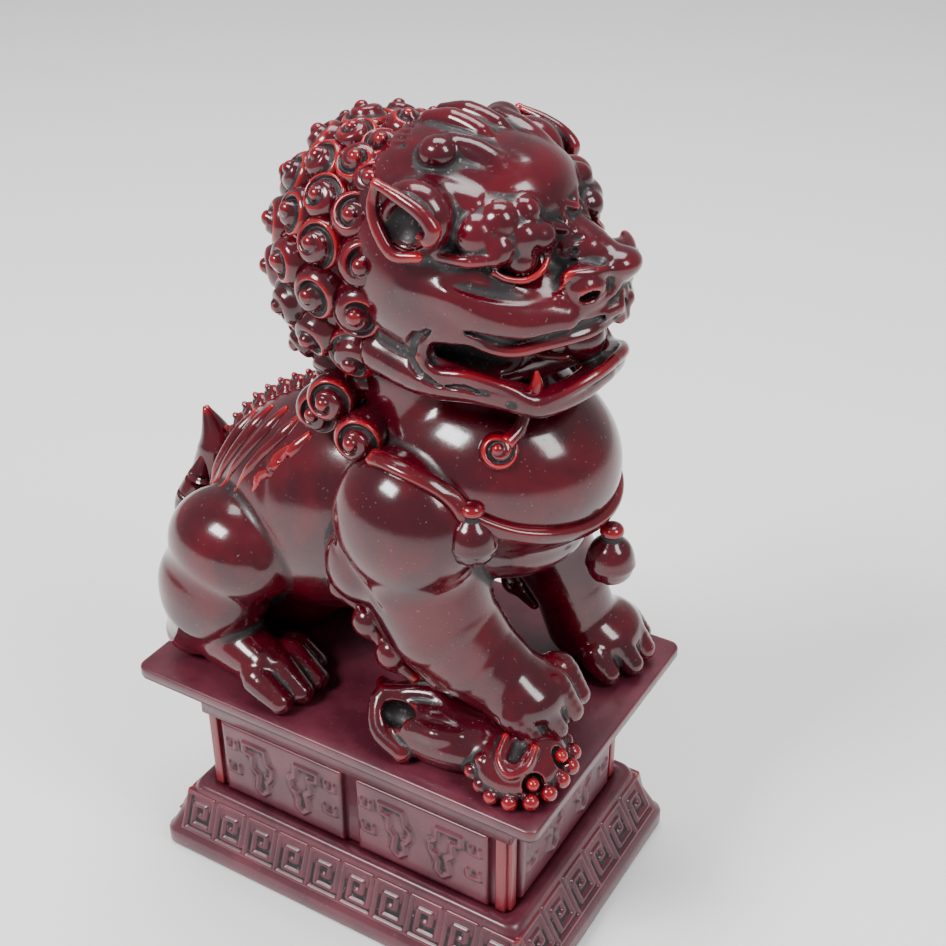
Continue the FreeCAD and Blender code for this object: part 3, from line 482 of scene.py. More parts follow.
def cubField(p):
    f = Form(p)
    f.egg(by("cub_body", 4.2, -1, -0.3), (17, 9.5, 7), 2)
    f.egg(by("cub_head", -0.5, -1.5, -1.3), (9.5, 10.5, 6.5), 1.5)
    # muzzle turned up, with a wide open mouth
    f.egg(by("cub_head", 1, -4.5, 1.7), (5, 6, 3.6), 1)
    mouth = route("cub_head", (-2.1, -4.4, 5.2), (-1.1, -8.6, 3.8), (1.9, -10.2, 2.2), (4.3, -7.6, 3.2),
                  (4.1, -4, 4.8))
    f.limb(mouth, 1, 0.5)
    f.limb(route("cub_head", (1.1, -4.4, 5.4), (1.5, -7.4, 4.4)), (1.7, 1.4), 0.5, how=carve)
    # eyes, ears and the curls round the face
    for x, y, z, r in ((6.1, -8, -0.2, 1.3), (8, 0, 1.7, 1.3)):
        f.egg(by("cub_head", x, y, z), (r + 1, r + 1, r + 1), 0.4, how=carve)
        f.egg(by("cub_head", x, y, z), (r, r, r), 0.2)
    for x, y, z, r in ((-6.5, -9.6, -1.2, 1.8), (-3.9, -10.8, -2.6, 1.8), (-4.9, -8.6, 1.2, 1.6),
                       (-0.9, -12, -3.2, 1.7),
                       (2.9, -11.6, -3.4, 1.7), (6.5, -9.6, -3.2, 1.7), (8.7, -6.4, -2.4, 1.7),
                       (9.3, -2.4, -1.8, 1.8),
                       (9.3, 1.4, -1.4, 1.8), (7.9, 5, -1.2, 1.8), (4.9, 7, -1.2, 2),
                       (-7.9, -6, 1.6, 1.7)):
        f.egg(by("cub_head", x, y, z), (r, r, r), 0.5)
    # bent hind leg like a folded leaf, and a forepaw held up
    f.limb(route("cub_leg", (8.2, -0.8, -1.1), (0.7, -2.8, 1.3), (2.2, -7.2, -3.5), (8.2, -8.2, -6.3)),
           (2.4, 2.2, 2.3, 2.4), 0.8)
    f.egg(by("cub_leg", 5.8, -4.8, -0.7), (4.4, 2.6, 3), 0.6, how=carve)
    f.limb(route("cub_leg", (3.2, -1.3, 1.9), (10.2, 0.7, 2.5), (15.2, -0.3, 0.9)), (1.6, 2, 1.6), 0.8)
    f.limb(route("cub_leg", (9.2, -5.8, -1.5), (14.8, -6.2, -0.5), (19.2, -4.8, -0.5)), (2, 2.2, 1.8),
           0.6)
    f.limb(route("cub_body", (-11.8, 2.5, -1.3), (-15.8, 5.5, -2.3)), (3, 1.6), 2)
    return f.d


# Surfaces of two parameters: rows of points joined into faces.

# quads between neighbouring rows; closed joins the last column to the first
def gridFaces(rows, columns, closed=False):
    j = np.arange(columns if closed else columns - 1)
    i = np.arange(rows - 1)[:, None]
    a, b = i * columns + j, i * columns + (j + 1) % columns
    return np.stack((a, b, b + columns, a + columns), -1).reshape(-1, 4)


def capped(points):
    # a grid (rows, columns, 3) closed round, its first and last rows drawn together; faces turned outward
    rows, columns = points.shape[:2]
    verts = np.concatenate((points.reshape(-1, 3), points[:1].mean(1), points[-1:].mean(1)))
    low, high = len(verts) - 2, len(verts) - 1
    j = np.arange(columns)
    k = (j + 1) % columns
    last = (rows - 1) * columns
    ends = [(low, int(b), int(a)) for a, b in zip(j, k)]
    ends += [(high, int(last + a), int(last + b)) for a, b in zip(j, k)]
    faces = gridFaces(rows, columns, True).tolist() + ends
    a, b, c = (verts[[face[n] for face in faces]] - verts[0] for n in (0, 1, 2))
    d = verts[[face[-1] for face in faces]] - verts[0]
    room = (np.cross(a, b) * c).sum() + (np.cross(a, c) * d).sum()
    return verts, faces if room > 0 else [face[::-1] for face in faces]


def merged(parts):  # several (verts, faces) as one
    verts, faces, count = [], [], 0
    for v, f in parts:
        verts.append(v)
        faces += [tuple(n + count for n in face) for face in f]
        count += len(v)
    return np.concatenate(verts), faces


def frameAlong(way):  # two directions square to each way
    way = way / lengthOf(way)[..., None]
    up = np.where(np.abs(way[..., 2:]) > 0.95, (1.0, 0, 0), (0, 0, 1.0))
    side = np.cross(up, way)
    side /= lengthOf(side)[..., None]
    return side, np.cross(way, side)


def smoothRoute(points, count):  # Catmull-Rom curve through the points, sampled evenly in its parameter
    points = np.asarray(points, float)
    padded = np.concatenate((2 * points[:1] - points[1:2], points, 2 * points[-1:] - points[-2:-1]))
    t = np.linspace(0, len(points) - 1, count)
    i = np.minimum(t.astype(int), len(points) - 2)
    t = (t - i)[:, None]
    a, b, c, d = padded[i], padded[i + 1], padded[i + 2], padded[i + 3]
    return 0.5 * (2 * b + (c - a) * t + (2 * a - 5 * b + 4 * c - d) * t ** 2
                  + (3 * b - 3 * c + d - a) * t ** 3)


def roundOutline(halfX, halfY, corner, perCorner=6, perSide=1):
    # rounded rectangle, anticlockwise: quarter arcs at the corners, extra points along the sides
    spots = []
    for k, (sx, sy) in enumerate(((1, 1), (-1, 1), (-1, -1), (1, -1))):
        angle = np.radians(90 * k + np.linspace(0, 90, perCorner))
        arc = np.stack((np.cos(angle), np.sin(angle)), -1) * corner
        spots.append(arc + (sx * (halfX - corner), sy * (halfY - corner)))
    out = []
    for k in range(4):
        out.append(spots[k])
        start, end = spots[k][-1], spots[(k + 1) % 4][0]
        share = np.linspace(0, 1, perSide + 1)[1:-1, None]
        out.append(start * (1 - share) + end * share)
    return np.concatenate(out)


# a plinth member: one rounded outline for each (half length, half width, corner, height)
def moulded(rows, perSide=40):
    rings = []
    for halfX, halfY, corner, z in rows:
        ring = roundOutline(halfX, halfY, corner, perSide=perSide)
        rings.append(np.concatenate((ring, np.full((len(ring), 1), z)), 1))
    return capped(np.stack(rings))


# The plinth.

plinthLooks = {
    "footSlopeLong": 7.0,
    "footSlopeWide": 5.25,
    "footRim": 4.6,
    "fretInset": 5.2,
    "fretSunk": 0.12,
    "fretStep": 0.28,
    "panelStep": 0.3,
    "panelEdge": 0.5,
    "coveRise": 2.8,
    "postLong": 1.15,
    "postWide": 0.9,
    "postCorner": 0.35,
    "footLip": 0.5,
    "slabEdge": 0.35,
    "fretUnits": 10,
    "fretUnitsShort": 6,
    "fretHeight": 0.55,
    "fretLine": 0.5,
    "motifHeight": 0.55,
    "motifLine": 0.55,
}


def halves(node):
    low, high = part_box(node)
    return (high.x - low.x) / 2 / mm, (high.y - low.y) / 2 / mm, low.z / mm, high.z / mm


def makeFoot():
    hx, hy, low, high = halves("plinth_foot")
    bandLow = halves("fret_band")[2]
    tx, ty = hx - plinthLooks["footSlopeLong"], hy - plinthLooks["footSlopeWide"]
    lip = plinthLooks["footLip"]
    rows = [
        (hx - 5, hy - 5, 2, low), (hx - 1, hy - 1, 2.6, low), (hx - 0.25, hy - 0.25, 2.9, low + 0.3),
        (hx, hy, 3, low + 1),
        (hx, hy, 3, bandLow - 2.2), (hx - 0.2, hy - 0.2, 3, bandLow - 1.6),
        (hx - 0.9, hy - 0.8, 3, bandLow - 0.9),
        (tx + 0.7, ty + 0.55, 3, high - 1), (tx + lip * 0.4, ty + lip * 0.4, 3, high - 0.35),
        (tx - 0.3, ty - 0.3, 3, high),
        (tx - 2.6, ty - 2.6, 2, high), (tx - 3, ty - 3, 2, high - 0.9), (tx - 5, ty - 5, 2, high - 0.9),
        (5, 5, 2, high - 0.9),
    ]
    newPiece("plinthFoot", *moulded(rows), "plinth_foot", "plinth_resin")


# 1 within half a line's width of any of the runs, falling off smoothly past it
def lineMask(s, t, runs, half):
    best = np.full(s.shape, 1e9)
    for run in runs:
        for (ax, ay), (endX, endY) in zip(run, run[1:]):
            dx, dy = endX - ax, endY - ay
            k = np.clip(((s - ax) * dx + (t - ay) * dy) / max(dx * dx + dy * dy, 1e-9), 0, 1)
            best = np.minimum(best, np.hypot(s - ax - k * dx, t - ay - k * dy))
    return 1 / (1 + np.exp((best - half) / (half * 0.16)))


def relieved(origin, along, up, out, width, height, step, pattern, skirt=1.2):
    # a plate with a height field on it, pattern(s, t) out from origin + s along + t up; its sides sink behind
    columns, rows = int(width / step) + 2, int(height / step) + 2
    s, t = np.meshgrid(np.linspace(0, width, columns), np.linspace(0, height, rows))
    h = pattern(s, t)
    points = origin + s[..., None] * along + t[..., None] * up + h[..., None] * out
    verts = points.reshape(-1, 3)
    faces = gridFaces(rows, columns)
    edge = np.concatenate((np.arange(columns), np.arange(1, rows) * columns + columns - 1,
                           (rows - 1) * columns + np.arange(columns - 2, -1, -1),
                           np.arange(rows - 2, 0, -1) * columns))
    sunk = verts[edge] - out * skirt
    a = edge
    b = np.roll(edge, -1)
    c = len(verts) + np.arange(len(edge))
    d = np.roll(c, -1)
    walls = np.stack((b, a, c, d), -1)
    return np.concatenate((verts, sunk)), np.concatenate((faces, walls)).tolist()


def keyFret(units, width, height):
    # square spirals side by side: each runs up, across, down, back and in again
    pitch = width / units
    runs = []
    for k in range(units):
        x = k * pitch
        turns = [(0.06, 0.04), (0.06, 0.94), (0.9, 0.94), (0.9, 0.2), (0.3, 0.2), (0.3, 0.7), (0.66, 0.7),
                 (0.66, 0.45), (0.5, 0.45)]
        runs.append([(x + a * pitch, b * height) for a, b in turns])
    runs.append([(0, 0.03 * height), (width, 0.03 * height)])
    return runs


def makeFret():
    hx, hy, low, high = halves("fret_band")
    footX, footY, _, footHigh = halves("plinth_foot")
    parts = []
    looks = plinthLooks
    lowZ, highZ = low + 0.3, high - 0.3
    sides = ((hx, looks["fretUnits"]), (hy, looks["fretUnitsShort"])) * 2
    for turn, (wide, units) in enumerate(sides):
        inset = looks["footSlopeWide" if turn % 2 == 0 else "footSlopeLong"]
        slope = inset / (footHigh - looks["footRim"])
        rise = highZ - lowZ
        at = footY if turn % 2 == 0 else footX
        base = at - slope * (lowZ - looks["footRim"]) - looks["fretSunk"]
        width = 2 * (wide - looks["fretInset"])
        up = np.array((0, slope, 1.0))
        tall = rise * lengthOf(up)
        up /= lengthOf(up)
        out = np.array((0, -1.0, slope)) / math.hypot(1, slope)
        pattern = lambda s, t, width=width, tall=tall, units=units: looks["fretHeight"] * (
            lineMask(s, t, keyFret(units, width, tall), looks["fretLine"]))
        verts, faces = relieved(np.array((-width / 2, -base, lowZ)), np.array((1.0, 0, 0)), up, out,
                                width, tall, looks["fretStep"], pattern)
        verts = turned(verts, "Z", -90 * turn)
        parts.append((verts, faces))
    newPiece("footFret", *merged(parts), "fret_band", "plinth_resin")


def makeWaist():
    hx, hy, low, high = halves("plinth_waist")
    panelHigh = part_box("panel_front")[1].z / mm
    proud = (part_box("panel_front")[1].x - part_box("panel_front")[0].x) / mm
    x, y = hx - proud, hy - proud
    rows = [
        (x - 3, y - 3, 0.5, low - 0.5), (x + 0.1, y + 0.1, 0.6, low - 0.5),
        (x + 0.1, y + 0.1, 0.6, low + 0.6), (x, y, 0.6, low + 0.9),
        (x, y, 0.6, panelHigh - 0.3), (hx - 0.5, hy - 0.5, 0.6, panelHigh + 0.1),
        (hx, hy, 0.6, panelHigh + 0.6),
        (hx, hy, 0.6, high + 0.4), (5, 5, 0.5, high + 0.4),
    ]
    newPiece("plinthWaist", *moulded(rows), "plinth_waist", "plinth_resin")
    # corner posts: upright bars between the panels' ends and the corners
    parts = []
    for sx in (-1, 1):
        for sy in (-1, 1):
            for along in (0, 1):
                cx = sx * (x - 1.2) if along == 0 else sx * (x + 0.1)
                cy = sy * (y + 0.1) if along == 0 else sy * (y - 1.2)
                post = (plinthLooks["postLong"], plinthLooks["postWide"])
                halfX, halfY = post if along == 0 else post[::-1]
                ring = roundOutline(halfX, halfY, plinthLooks["postCorner"], 4)
                grid = np.stack([np.concatenate((ring + (cx, cy), np.full((len(ring), 1), z)), 1)
                                 for z in (low, low + 0.3, panelHigh, panelHigh + 0.8)])
                parts.append(capped(grid))
    newPiece("cornerPosts", *merged(parts), "plinth_waist", "plinth_resin")


halfMotif = [  # one half of a panel's angular cloud, as shares of half the width and of the height
    [(0.10, 0.78), (0.10, 0.70), (0.24, 0.70), (0.24, 0.77)],
    [(0.10, 0.44), (0.10, 0.35), (0.28, 0.35), (0.28, 0.44)],
    [(0.38, 0.72), (0.38, 0.84), (0.74, 0.84), (0.76, 0.66), (0.86, 0.60), (0.84, 0.48), (0.74, 0.46)],
    [(0.38, 0.72), (0.52, 0.70), (0.50, 0.52), (0.60, 0.44), (0.56, 0.24), (0.66, 0.16), (0.76, 0.24),
     (0.74, 0.36), (0.84, 0.48)],
]


def makePanels():
    looks = plinthLooks
    for name in ("right_rear", "right_front", "left_rear", "left_front", "front", "rear"):
        low, high = (np.array(c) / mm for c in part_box(f"panel_{name}"))
        size = high - low
        flatX = size[0] < size[1]
        width, height = (size[1] if flatX else size[0]), size[2] - 0.2
        sign = np.sign((low + high)[0 if flatX else 1])
        out = np.array((sign, 0, 0)) if flatX else np.array((0, sign, 0.0))
        along = np.cross((0, 0, 1.0), out)
        middle = (low + high) / 2
        origin = middle + out * size[0 if flatX else 1] / 2 - along * width / 2
        origin[2] = low[2] + 0.1
        runs = []
        for run in halfMotif:
            runs.append([(a * width / 2, b * height) for a, b in run])
            runs.append([(width - a * width / 2, b * height) for a, b in run])
        half = looks["motifLine"] if width < 38 else looks["motifLine"] * 1.1

        def pattern(s, t):
            edge = np.minimum(np.minimum(s, width - s), np.minimum(t, height - t))
            return looks["motifHeight"] * lineMask(s, t, runs,
                half) - looks["panelEdge"] * np.exp(-edge / 0.25)

        verts, faces = relieved(origin, along, np.array((0, 0, 1.0)), out, width, height,
                                looks["panelStep"], pattern, size[0 if flatX else 1])
        newPiece(f"waistPanel_{name}", verts, faces, f"panel_{name}", "plinth_resin")


def makeSlab():
    hx, hy, low, high = halves("plinth_slab")
    wx, wy = halves("plinth_waist")[:2]
    edge = plinthLooks["slabEdge"]
    rise = plinthLooks["coveRise"]
    rows = [(5, 5, 0.5, low - 0.2), (wx + 0.2, wy + 0.2, 0.6, low - 0.2),
            (wx + 0.5, wy + 0.5, 0.7, low + 0.5)]
    for share in (0.12, 0.2, 0.45, 0.55, 0.8, 0.95):
        out = share ** 1.3
        step = 0.35 * (share in (0.2, 0.55, 0.95))
        rows.append((wx + (hx - wx) * out + step, wy + (hy - wy) * out + step, 0.8 + 1.4 * out,
                     low + 0.5 + (rise - 0.6) * share))
    rows += [(hx - 0.3, hy - 0.3, 2.2, low + rise), (hx, hy, 2.3, low + rise + edge),
             (hx, hy, 2.3, high - edge * 1.4),
             (hx - edge * 0.4, hy - edge * 0.4, 2.2, high - edge * 0.4),
             (hx - edge * 1.4, hy - edge * 1.4, 2, high),
             (hx - 3, hy - 3, 2, high), (hx - 12, hy - 12, 2, high), (5, 5, 2, high)]
    newPiece("plinthSlab", *moulded(rows), "plinth_slab", "plinth_resin")


# Mane: a cap with combed furrows, and snail curls on it.

maneLooks = {
    "curlWidth": 8,
    "curlHeight": 4.8,
    "curlTurns": 1.5,
    "curlRing": 0.3,
    "curlSize": 1.3,
    "curlSink": 0.9,
    "capInset": 3.4,
    "combDepth": 0.35,
}


def makeMane():
    low, high = (np.array(c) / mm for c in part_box("mane_cap"))
    centre = (low + high) / 2 * (1, 0, 1)
    radii = (high - low) / 2 - maneLooks["capInset"]
    v, u = np.meshgrid(np.linspace(0, 2 * math.pi, 260, endpoint=False),
                       np.linspace(-89, 89, 130) * math.pi / 180)
    comb = maneLooks["combDepth"] * np.sin(46 * v + 5 * np.sin(7 * u)) * np.cos(u)
    unit = np.stack((np.cos(u) * np.cos(v), np.cos(u) * np.sin(v), np.sin(u)), -1)
    points = centre + unit * (radii + comb[..., None] - 0.4)
    newPiece("maneCap", *capped(points), "mane_cap", "hair_resin")
    return centre, radii


def curl(spot, way, width, height, turns, hand, spin):
    # snail curl by radius r and angle a: a round knob less a spiral furrow of phase r times turns less a
    r, a = np.meshgrid(np.linspace(0.02, 1.3, 34), np.linspace(0, 2 * math.pi, 52, endpoint=False),
                       indexing="ij")
    inside = np.clip(r, 0, 1)
    knob = (1 - inside ** 2.6) ** 0.5
    phase = inside * turns - hand * (a + spin) / (2 * math.pi)
    furrow = (0.5 + 0.5 * np.cos(2 * math.pi * phase)) ** 3
    strength = np.clip((inside - 0.24) / 0.14, 0, 1) * np.clip((1.05 - inside) / 0.2, 0, 1)
    bead = 0.2 * np.clip(1 - (inside / 0.3) ** 2, 0, 1) ** 0.7
    h = height * (knob * 0.85 + bead - maneLooks["curlRing"] * furrow * strength)
    h = np.where(r > 1, -height * (r - 1) * 3, h)
    side, up = frameAlong(way[None])
    spread = np.minimum(r, 1.0) * width / 2
    points = (spot + side[0] * (spread * np.cos(a))[..., None] + up[0] * (spread * np.sin(a))[..., None]
              + way * h[..., None])
    return capped(points)


def curlsOn(centre, radii, rows):
    parts = []
    for n, (around, up, size) in enumerate(rows):
        a, e = math.radians(around), math.radians(up)
        unit = np.array((math.cos(e) * math.cos(a), math.cos(e) * math.sin(a), math.sin(e)))
        spot = centre + unit * radii
        way = unit / radii
        way /= lengthOf(way)
        width = maneLooks["curlWidth"] * size * maneLooks["curlSize"]
        parts.append(curl(spot - way * maneLooks["curlSink"], way, width, maneLooks["curlHeight"] * size,
                          maneLooks["curlTurns"], 1 if around >= 0 else -1,
                          1.3 * n))
    return merged(parts)


curlRows = {
    "crown": [(70, 48, 0.9), (84, 56, 0.9), (66, 66, 0.85), (0, 80, 0.85), (110, 70, 0.85),
              (180, 76, 0.9)],
    "sides": [(71, 15, 1.08), (74, -4, 1.08), (80, -27, 1.08), (84, -50, 1), (78, 33, 0.95)],
    "nape": [(97, 20, 0.98), (97, 0, 1.02), (104, -21, 1), (110, -43, 0.95), (101, 38, 0.92),
             (118, 52, 0.9), (119, 28, 0.95),
             (119, 8, 1), (124, -12, 1), (130, -33, 0.95), (140, 40, 0.92), (141, 18, 0.98), (146, -3, 1),
             (152, -24, 0.98),
             (160, -45, 0.9), (160, 56, 0.9), (163, 32, 0.95), (168, 10, 1), (172, -12, 1)],
}


lowCurls = [(5.2, 22, -27.5, 1), (-6.5, 18, -26.5, 1), (-1.5, 21, -21.5, 0.95)]


def makeCurls(centre, radii):
    for name, rows in curlRows.items():
        both = rows + [(-a, e, s) for a, e, s in rows if a not in (0, 180)]
        parts = [curlsOn(centre, radii, both)]
        if name == "sides":  # the lowest curls hang over the shoulders
            for side in (-1, 1):
                for x, y, z, size in lowCurls:
                    way = np.array((0.15, side, 0.1))
                    spot = by("mane_cap", x, side * y, z) - way * 1.5
                    parts.append(curl(spot, way / lengthOf(way), 10 * size, 5 * size,
                        maneLooks["curlTurns"], side, x))
        newPiece(f"maneCurls_{name}", *merged(parts), f"mane_curls_{name}", "hair_resin")


# Harness, tail and back.

def swept(points, profile, outward):
    # carries a closed profile (rows of sideways, outward) along a run; outward is the direction at each point
    way = np.gradient(points, axis=0)
    way /= lengthOf(way)[:, None]
    outward = outward - (outward * way).sum(-1)[:, None] * way
    outward /= lengthOf(outward)[:, None]
    side = np.cross(way, outward)
    grid = points[:, None] + side[:, None] * profile[None, :, :1] + outward[:, None] * profile[None, :, 1:]
    return grid


def onSurface(field, points, rounds=6):
    points = np.array(points, float)
    for _ in range(rounds):
        slope, d = slopes(field, points, 0.3)
        points -= d[:, None] * slope / np.maximum((slope * slope).sum(1), 0.3)[:, None]
    return points, slopes(field, points, 0.6)[0]


collarLooks = {"strapWide": 1.7, "strapThick": 1.3, "strapProud": 0.5}


def makeCollar():
    half = route("chest", (25.6, 0, -7.8), (24.3, 7, -7.4), (20.1, 14, -6), (15.1, 18.4, -4.4),
                 (9.1, 21, -1.8), (2.7, 22.4, 1.2), (-4.9, 24, 4.6), (-11.9, 25, 8.6))
    points = np.concatenate((half[:0:-1] * (1, -1, 1), half))
    points = smoothRoute(points, 150)
    points, out = onSurface(bodyField, points)
    a = np.linspace(0, 2 * math.pi, 20, endpoint=False)
    square = np.stack((np.sign(np.cos(a)) * np.abs(np.cos(a)) ** 0.6 * collarLooks["strapWide"],
                       np.sign(np.sin(a)) * np.abs(np.sin(a)) ** 0.7 * collarLooks["strapThick"]), -1)
    grid = swept(points + out * collarLooks["strapProud"], square, out)
    newPiece("collarStrap", *capped(grid[:, ::-1]), "collar_strap", "harness_resin")


bellLooks = {"radius": 4.7, "height": 12.6, "sideSpread": 21.5, "slotDepth": 0.1, "belt": 0.05}


def makeBell(name):
    low, high = (np.array(c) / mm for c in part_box(f"bell_{name}"))
    cx, cy = (low + high)[:2] / 2
    if name != "front":
        cy = np.sign(cy) * bellLooks["sideSpread"]
    bottom = low[2]
    profile = [(0.05, 0), (0.5, 0.05), (0.85, 0.16), (1, 0.34), (0.97, 0.5), (0.8, 0.66), (0.55, 0.76),
               (0.45, 0.8), (0.42, 0.85), (0.5, 0.9), (0.46, 0.98), (0.3, 1.03), (0.05, 1.05)]
    profile = smoothRoute([(a, 0, b) for a, b in profile], 48)
    a = np.linspace(0, 2 * math.pi, 48, endpoint=False)
    height = bellLooks["height"]
    radius = profile[:, 0] * bellLooks["radius"]
    z = bottom + profile[:, 2] * height
    pinch = 1 - bellLooks["slotDepth"] * np.exp(-((profile[:, 2:3] / 0.2) ** 2)) * (np.abs(np.cos(a)) < 0.25)
    belt = 1 + bellLooks["belt"] * np.exp(-(((profile[:, 2:3] - 0.36) / 0.03) ** 2))
    grid = np.stack((cx + radius[:, None] * np.cos(a) * pinch * belt,
                     cy + radius[:, None] * np.sin(a) * pinch * belt,
                     np.repeat(z[:, None], len(a), 1)), -1)
    newPiece(f"collarBell_{name}", *capped(grid), f"bell_{name}", "harness_resin")


def tube(points, radii, around=14, flat=1.0):  # round tube whose radius changes along a smooth run
    points = np.asarray(points, float)
    way = np.gradient(points, axis=0)
    side, up = frameAlong(way)
    a = np.linspace(0, 2 * math.pi, around, endpoint=False)
    grid = (points[:, None] + side[:, None] * (np.cos(a)[None, :, None] * radii[:, None, None])
            + up[:, None] * (np.sin(a)[None, :, None] * radii[:, None, None] * flat))
    return capped(grid)


def makeBeard():
    parts = []
    for side in (-1, 1):
        stem = route("beard_scrolls", (-2.4, 9.5, 6), (-2.8, 11, 3), (-3, 13, 0.6),
                     (-3.8, 16, -1)) * (1, side, 1)
        path = smoothRoute(stem, 24)
        parts.append(tube(path, np.linspace(1.1, 1.5, 24)))
        spot, way = onSurface(bodyField, [np.array((31.4, side * 16.6, 123.6))])
        parts.append(curl(spot[0] + way[0] * 0.2, way[0] / lengthOf(way[0]), 7.2, 3, 1.5, -side, 1.2))
    newPiece("beardScrolls", *merged(parts), "beard_scrolls", "hair_resin")


def makeTail():
    parts = []
    # upright plume: overlapping flames whose radius swells and closes to a tip that curls back
    flames = [
        (route("tail_plume", (6.1, 0, -15.4), (1.6, 0, -5.4), (3.1, 0, 5.6), (0.5, 0, 14.2)),
         (5, 6, 4.6, 0.7)),
        (route("tail_plume", (4.1, -5, -17.4), (-0.9, -6, -9.4), (1.1, -5, -1.4), (2.6, -3, 5.6)),
         (4, 4.4, 3, 0.6)),
        (route("tail_plume", (4.1, 5, -17.4), (-0.9, 6, -9.4), (1.1, 5, -1.4), (2.6, 3, 5.6)),
         (4, 4.4, 3, 0.6)),
        (route("tail_plume", (5.1, 0, -25.4), (-0.9, 0, -19.4), (-2.9, 0, -10.4)), (4, 5, 3.4)),
    ]
    for points, radii in flames:
        path = smoothRoute(points, 40)
        r = np.interp(np.linspace(0, 1, 40), np.linspace(0, 1, len(radii)), radii)
        parts.append(tube(path, r, 24))
    for side in (-1, 1):
        parts.append(curl(by("tail_plume", -1.9, 0, -14.4) * (1, 1, 1) + (0, side * 6.5, 0),
                          np.array((-0.8, side * 0.6, 0.1)), 8, 4, 1.6, side, 0))
    newPiece("tailPlume", *merged(parts), "tail_plume", "hair_resin")


def makeBack():
    # a row of beads up the spine and combed locks that fall from under the mane
    beads = []
    spine = smoothRoute(route("spine_ridge", (-11.9, 0, -11.2), (-5.9, 0, -3.2), (2.1, 0, 2.8),
                              (10.1, 0, 7.8)), 8)
    spine, out = onSurface(bodyField, spine)
    for at, way in zip(spine, out):
        beads.append(curl(at - way * 0.6, way / lengthOf(way), 5, 3.4, 0, 1, 0))
    newPiece("spineBeads", *merged(beads), "spine_ridge", "hair_resin")
    locks = []
    starts = route("torso", (1, 16.5, 24), (-4, 12.5, 25), (-9, 9, 23), (-14, 6.5, 20), (-19, 5, 16))
    bends = route("torso", (-4, 20, 17), (-9, 18, 17), (-14, 15.5, 15), (-18.5, 13, 12), (-23, 10.5, 8))
    ends = route("torso", (-10.5, 22, 7), (-16, 21, 6), (-21, 19, 3.5), (-24.5, 17, 1), (-27, 14, -1))
    for side in (-1, 1):
        for start, bend, end in zip(starts, bends, ends):
            path = smoothRoute(np.array((start, bend, end)) * (1, side, 1), 34)
            path[:, 0] += 0.4 * np.sin(np.linspace(0, 2.2 * math.pi, 34))
            path, out = onSurface(bodyField, path)
            r = np.interp(np.linspace(0, 1, 34), (0, 0.25, 0.75, 1), (0.9, 1.5, 1.2, 0.25))
            locks.append(tube(path - out * 0.45, r, 14))
    newPiece("backLocks", *merged(locks), "spine_ridge", "hair_resin")


def ballAt(centre, radii, rows=30, columns=44):  # ellipsoid from latitude and longitude
    v, u = np.meshgrid(np.linspace(0, 2 * math.pi, columns, endpoint=False),
                       np.linspace(-88, 88, rows) * math.pi / 180)
    unit = np.stack((np.cos(u) * np.cos(v), np.cos(u) * np.sin(v), np.sin(u)), -1)
    return capped(np.asarray(centre) + unit * radii)


mouthLooks = {
    "eyeRadii": (3.2, 2.9, 2.9),
    "fangSpread": 12.6,
    "fangRadii": (1.6, 0.3),
    "tongueWidths": (7, 7.5, 5, 0.8),
    "tongueFlat": 0.25,
}


def makeMouth():
    looks = mouthLooks
    for side, name in ((-1, "right"), (1, "left")):
        newPiece(f"eyeBall_{name}", *ballAt(sided("eye", side, (-0.6, -0.5, -0.1))[0], looks["eyeRadii"]),
                 f"eye_{name}", "lion_resin")
    parts = []
    for side in (-1, 1):
        root = by("fangs", 3, 0, -1.9) + (0, side * looks["fangSpread"], 0)
        path = smoothRoute([root, root + (0.4, 0, 2.6), root + (0.2, 0, 4.6)], 14)
        parts.append(tube(path, np.linspace(*looks["fangRadii"], 14)))
    newPiece("mouthFangs", *merged(parts), "fangs", "lion_resin")
    path = smoothRoute(route("tongue", (-6.3, 0, 2.3), (1.7, 0, 3.7), (7.7, 0, 3.3), (11.7, 0, 2.7)), 30)
    grid = np.interp(np.linspace(0, 1, 30), (0, 0.6, 0.9, 1), looks["tongueWidths"])
    newPiece("tongueFlap", *tube(path, grid, 28, looks["tongueFlat"]), "tongue", "lion_resin")


def makeFelt():
    hx, hy, low, high = halves("base_felt")
    rows = [(5, 5, 1, low), (hx - 0.4, hy - 0.4, 2.8, low), (hx, hy, 3, low + 0.1), (hx, hy, 3, high),
            (5, 5, 1, high)]
    newPiece("feltPad", *moulded(rows), "base_felt", "felt")


# Finish: cinnabar-red resin under gloss, painted shade darkening the cracks with some dust there, rubbed
# bright on the ridges.

def spreadOver(values, edges, rounds):  # averages each point's value with its neighbours'
    a, b = edges.T
    count = np.bincount(a, minlength=len(values)) + np.bincount(b, minlength=len(values)) + 1.0
    for _ in range(rounds):
        total = values + np.bincount(a, values[b], len(values)) + np.bincount(b, values[a], len(values))
        values = total / count
    return values


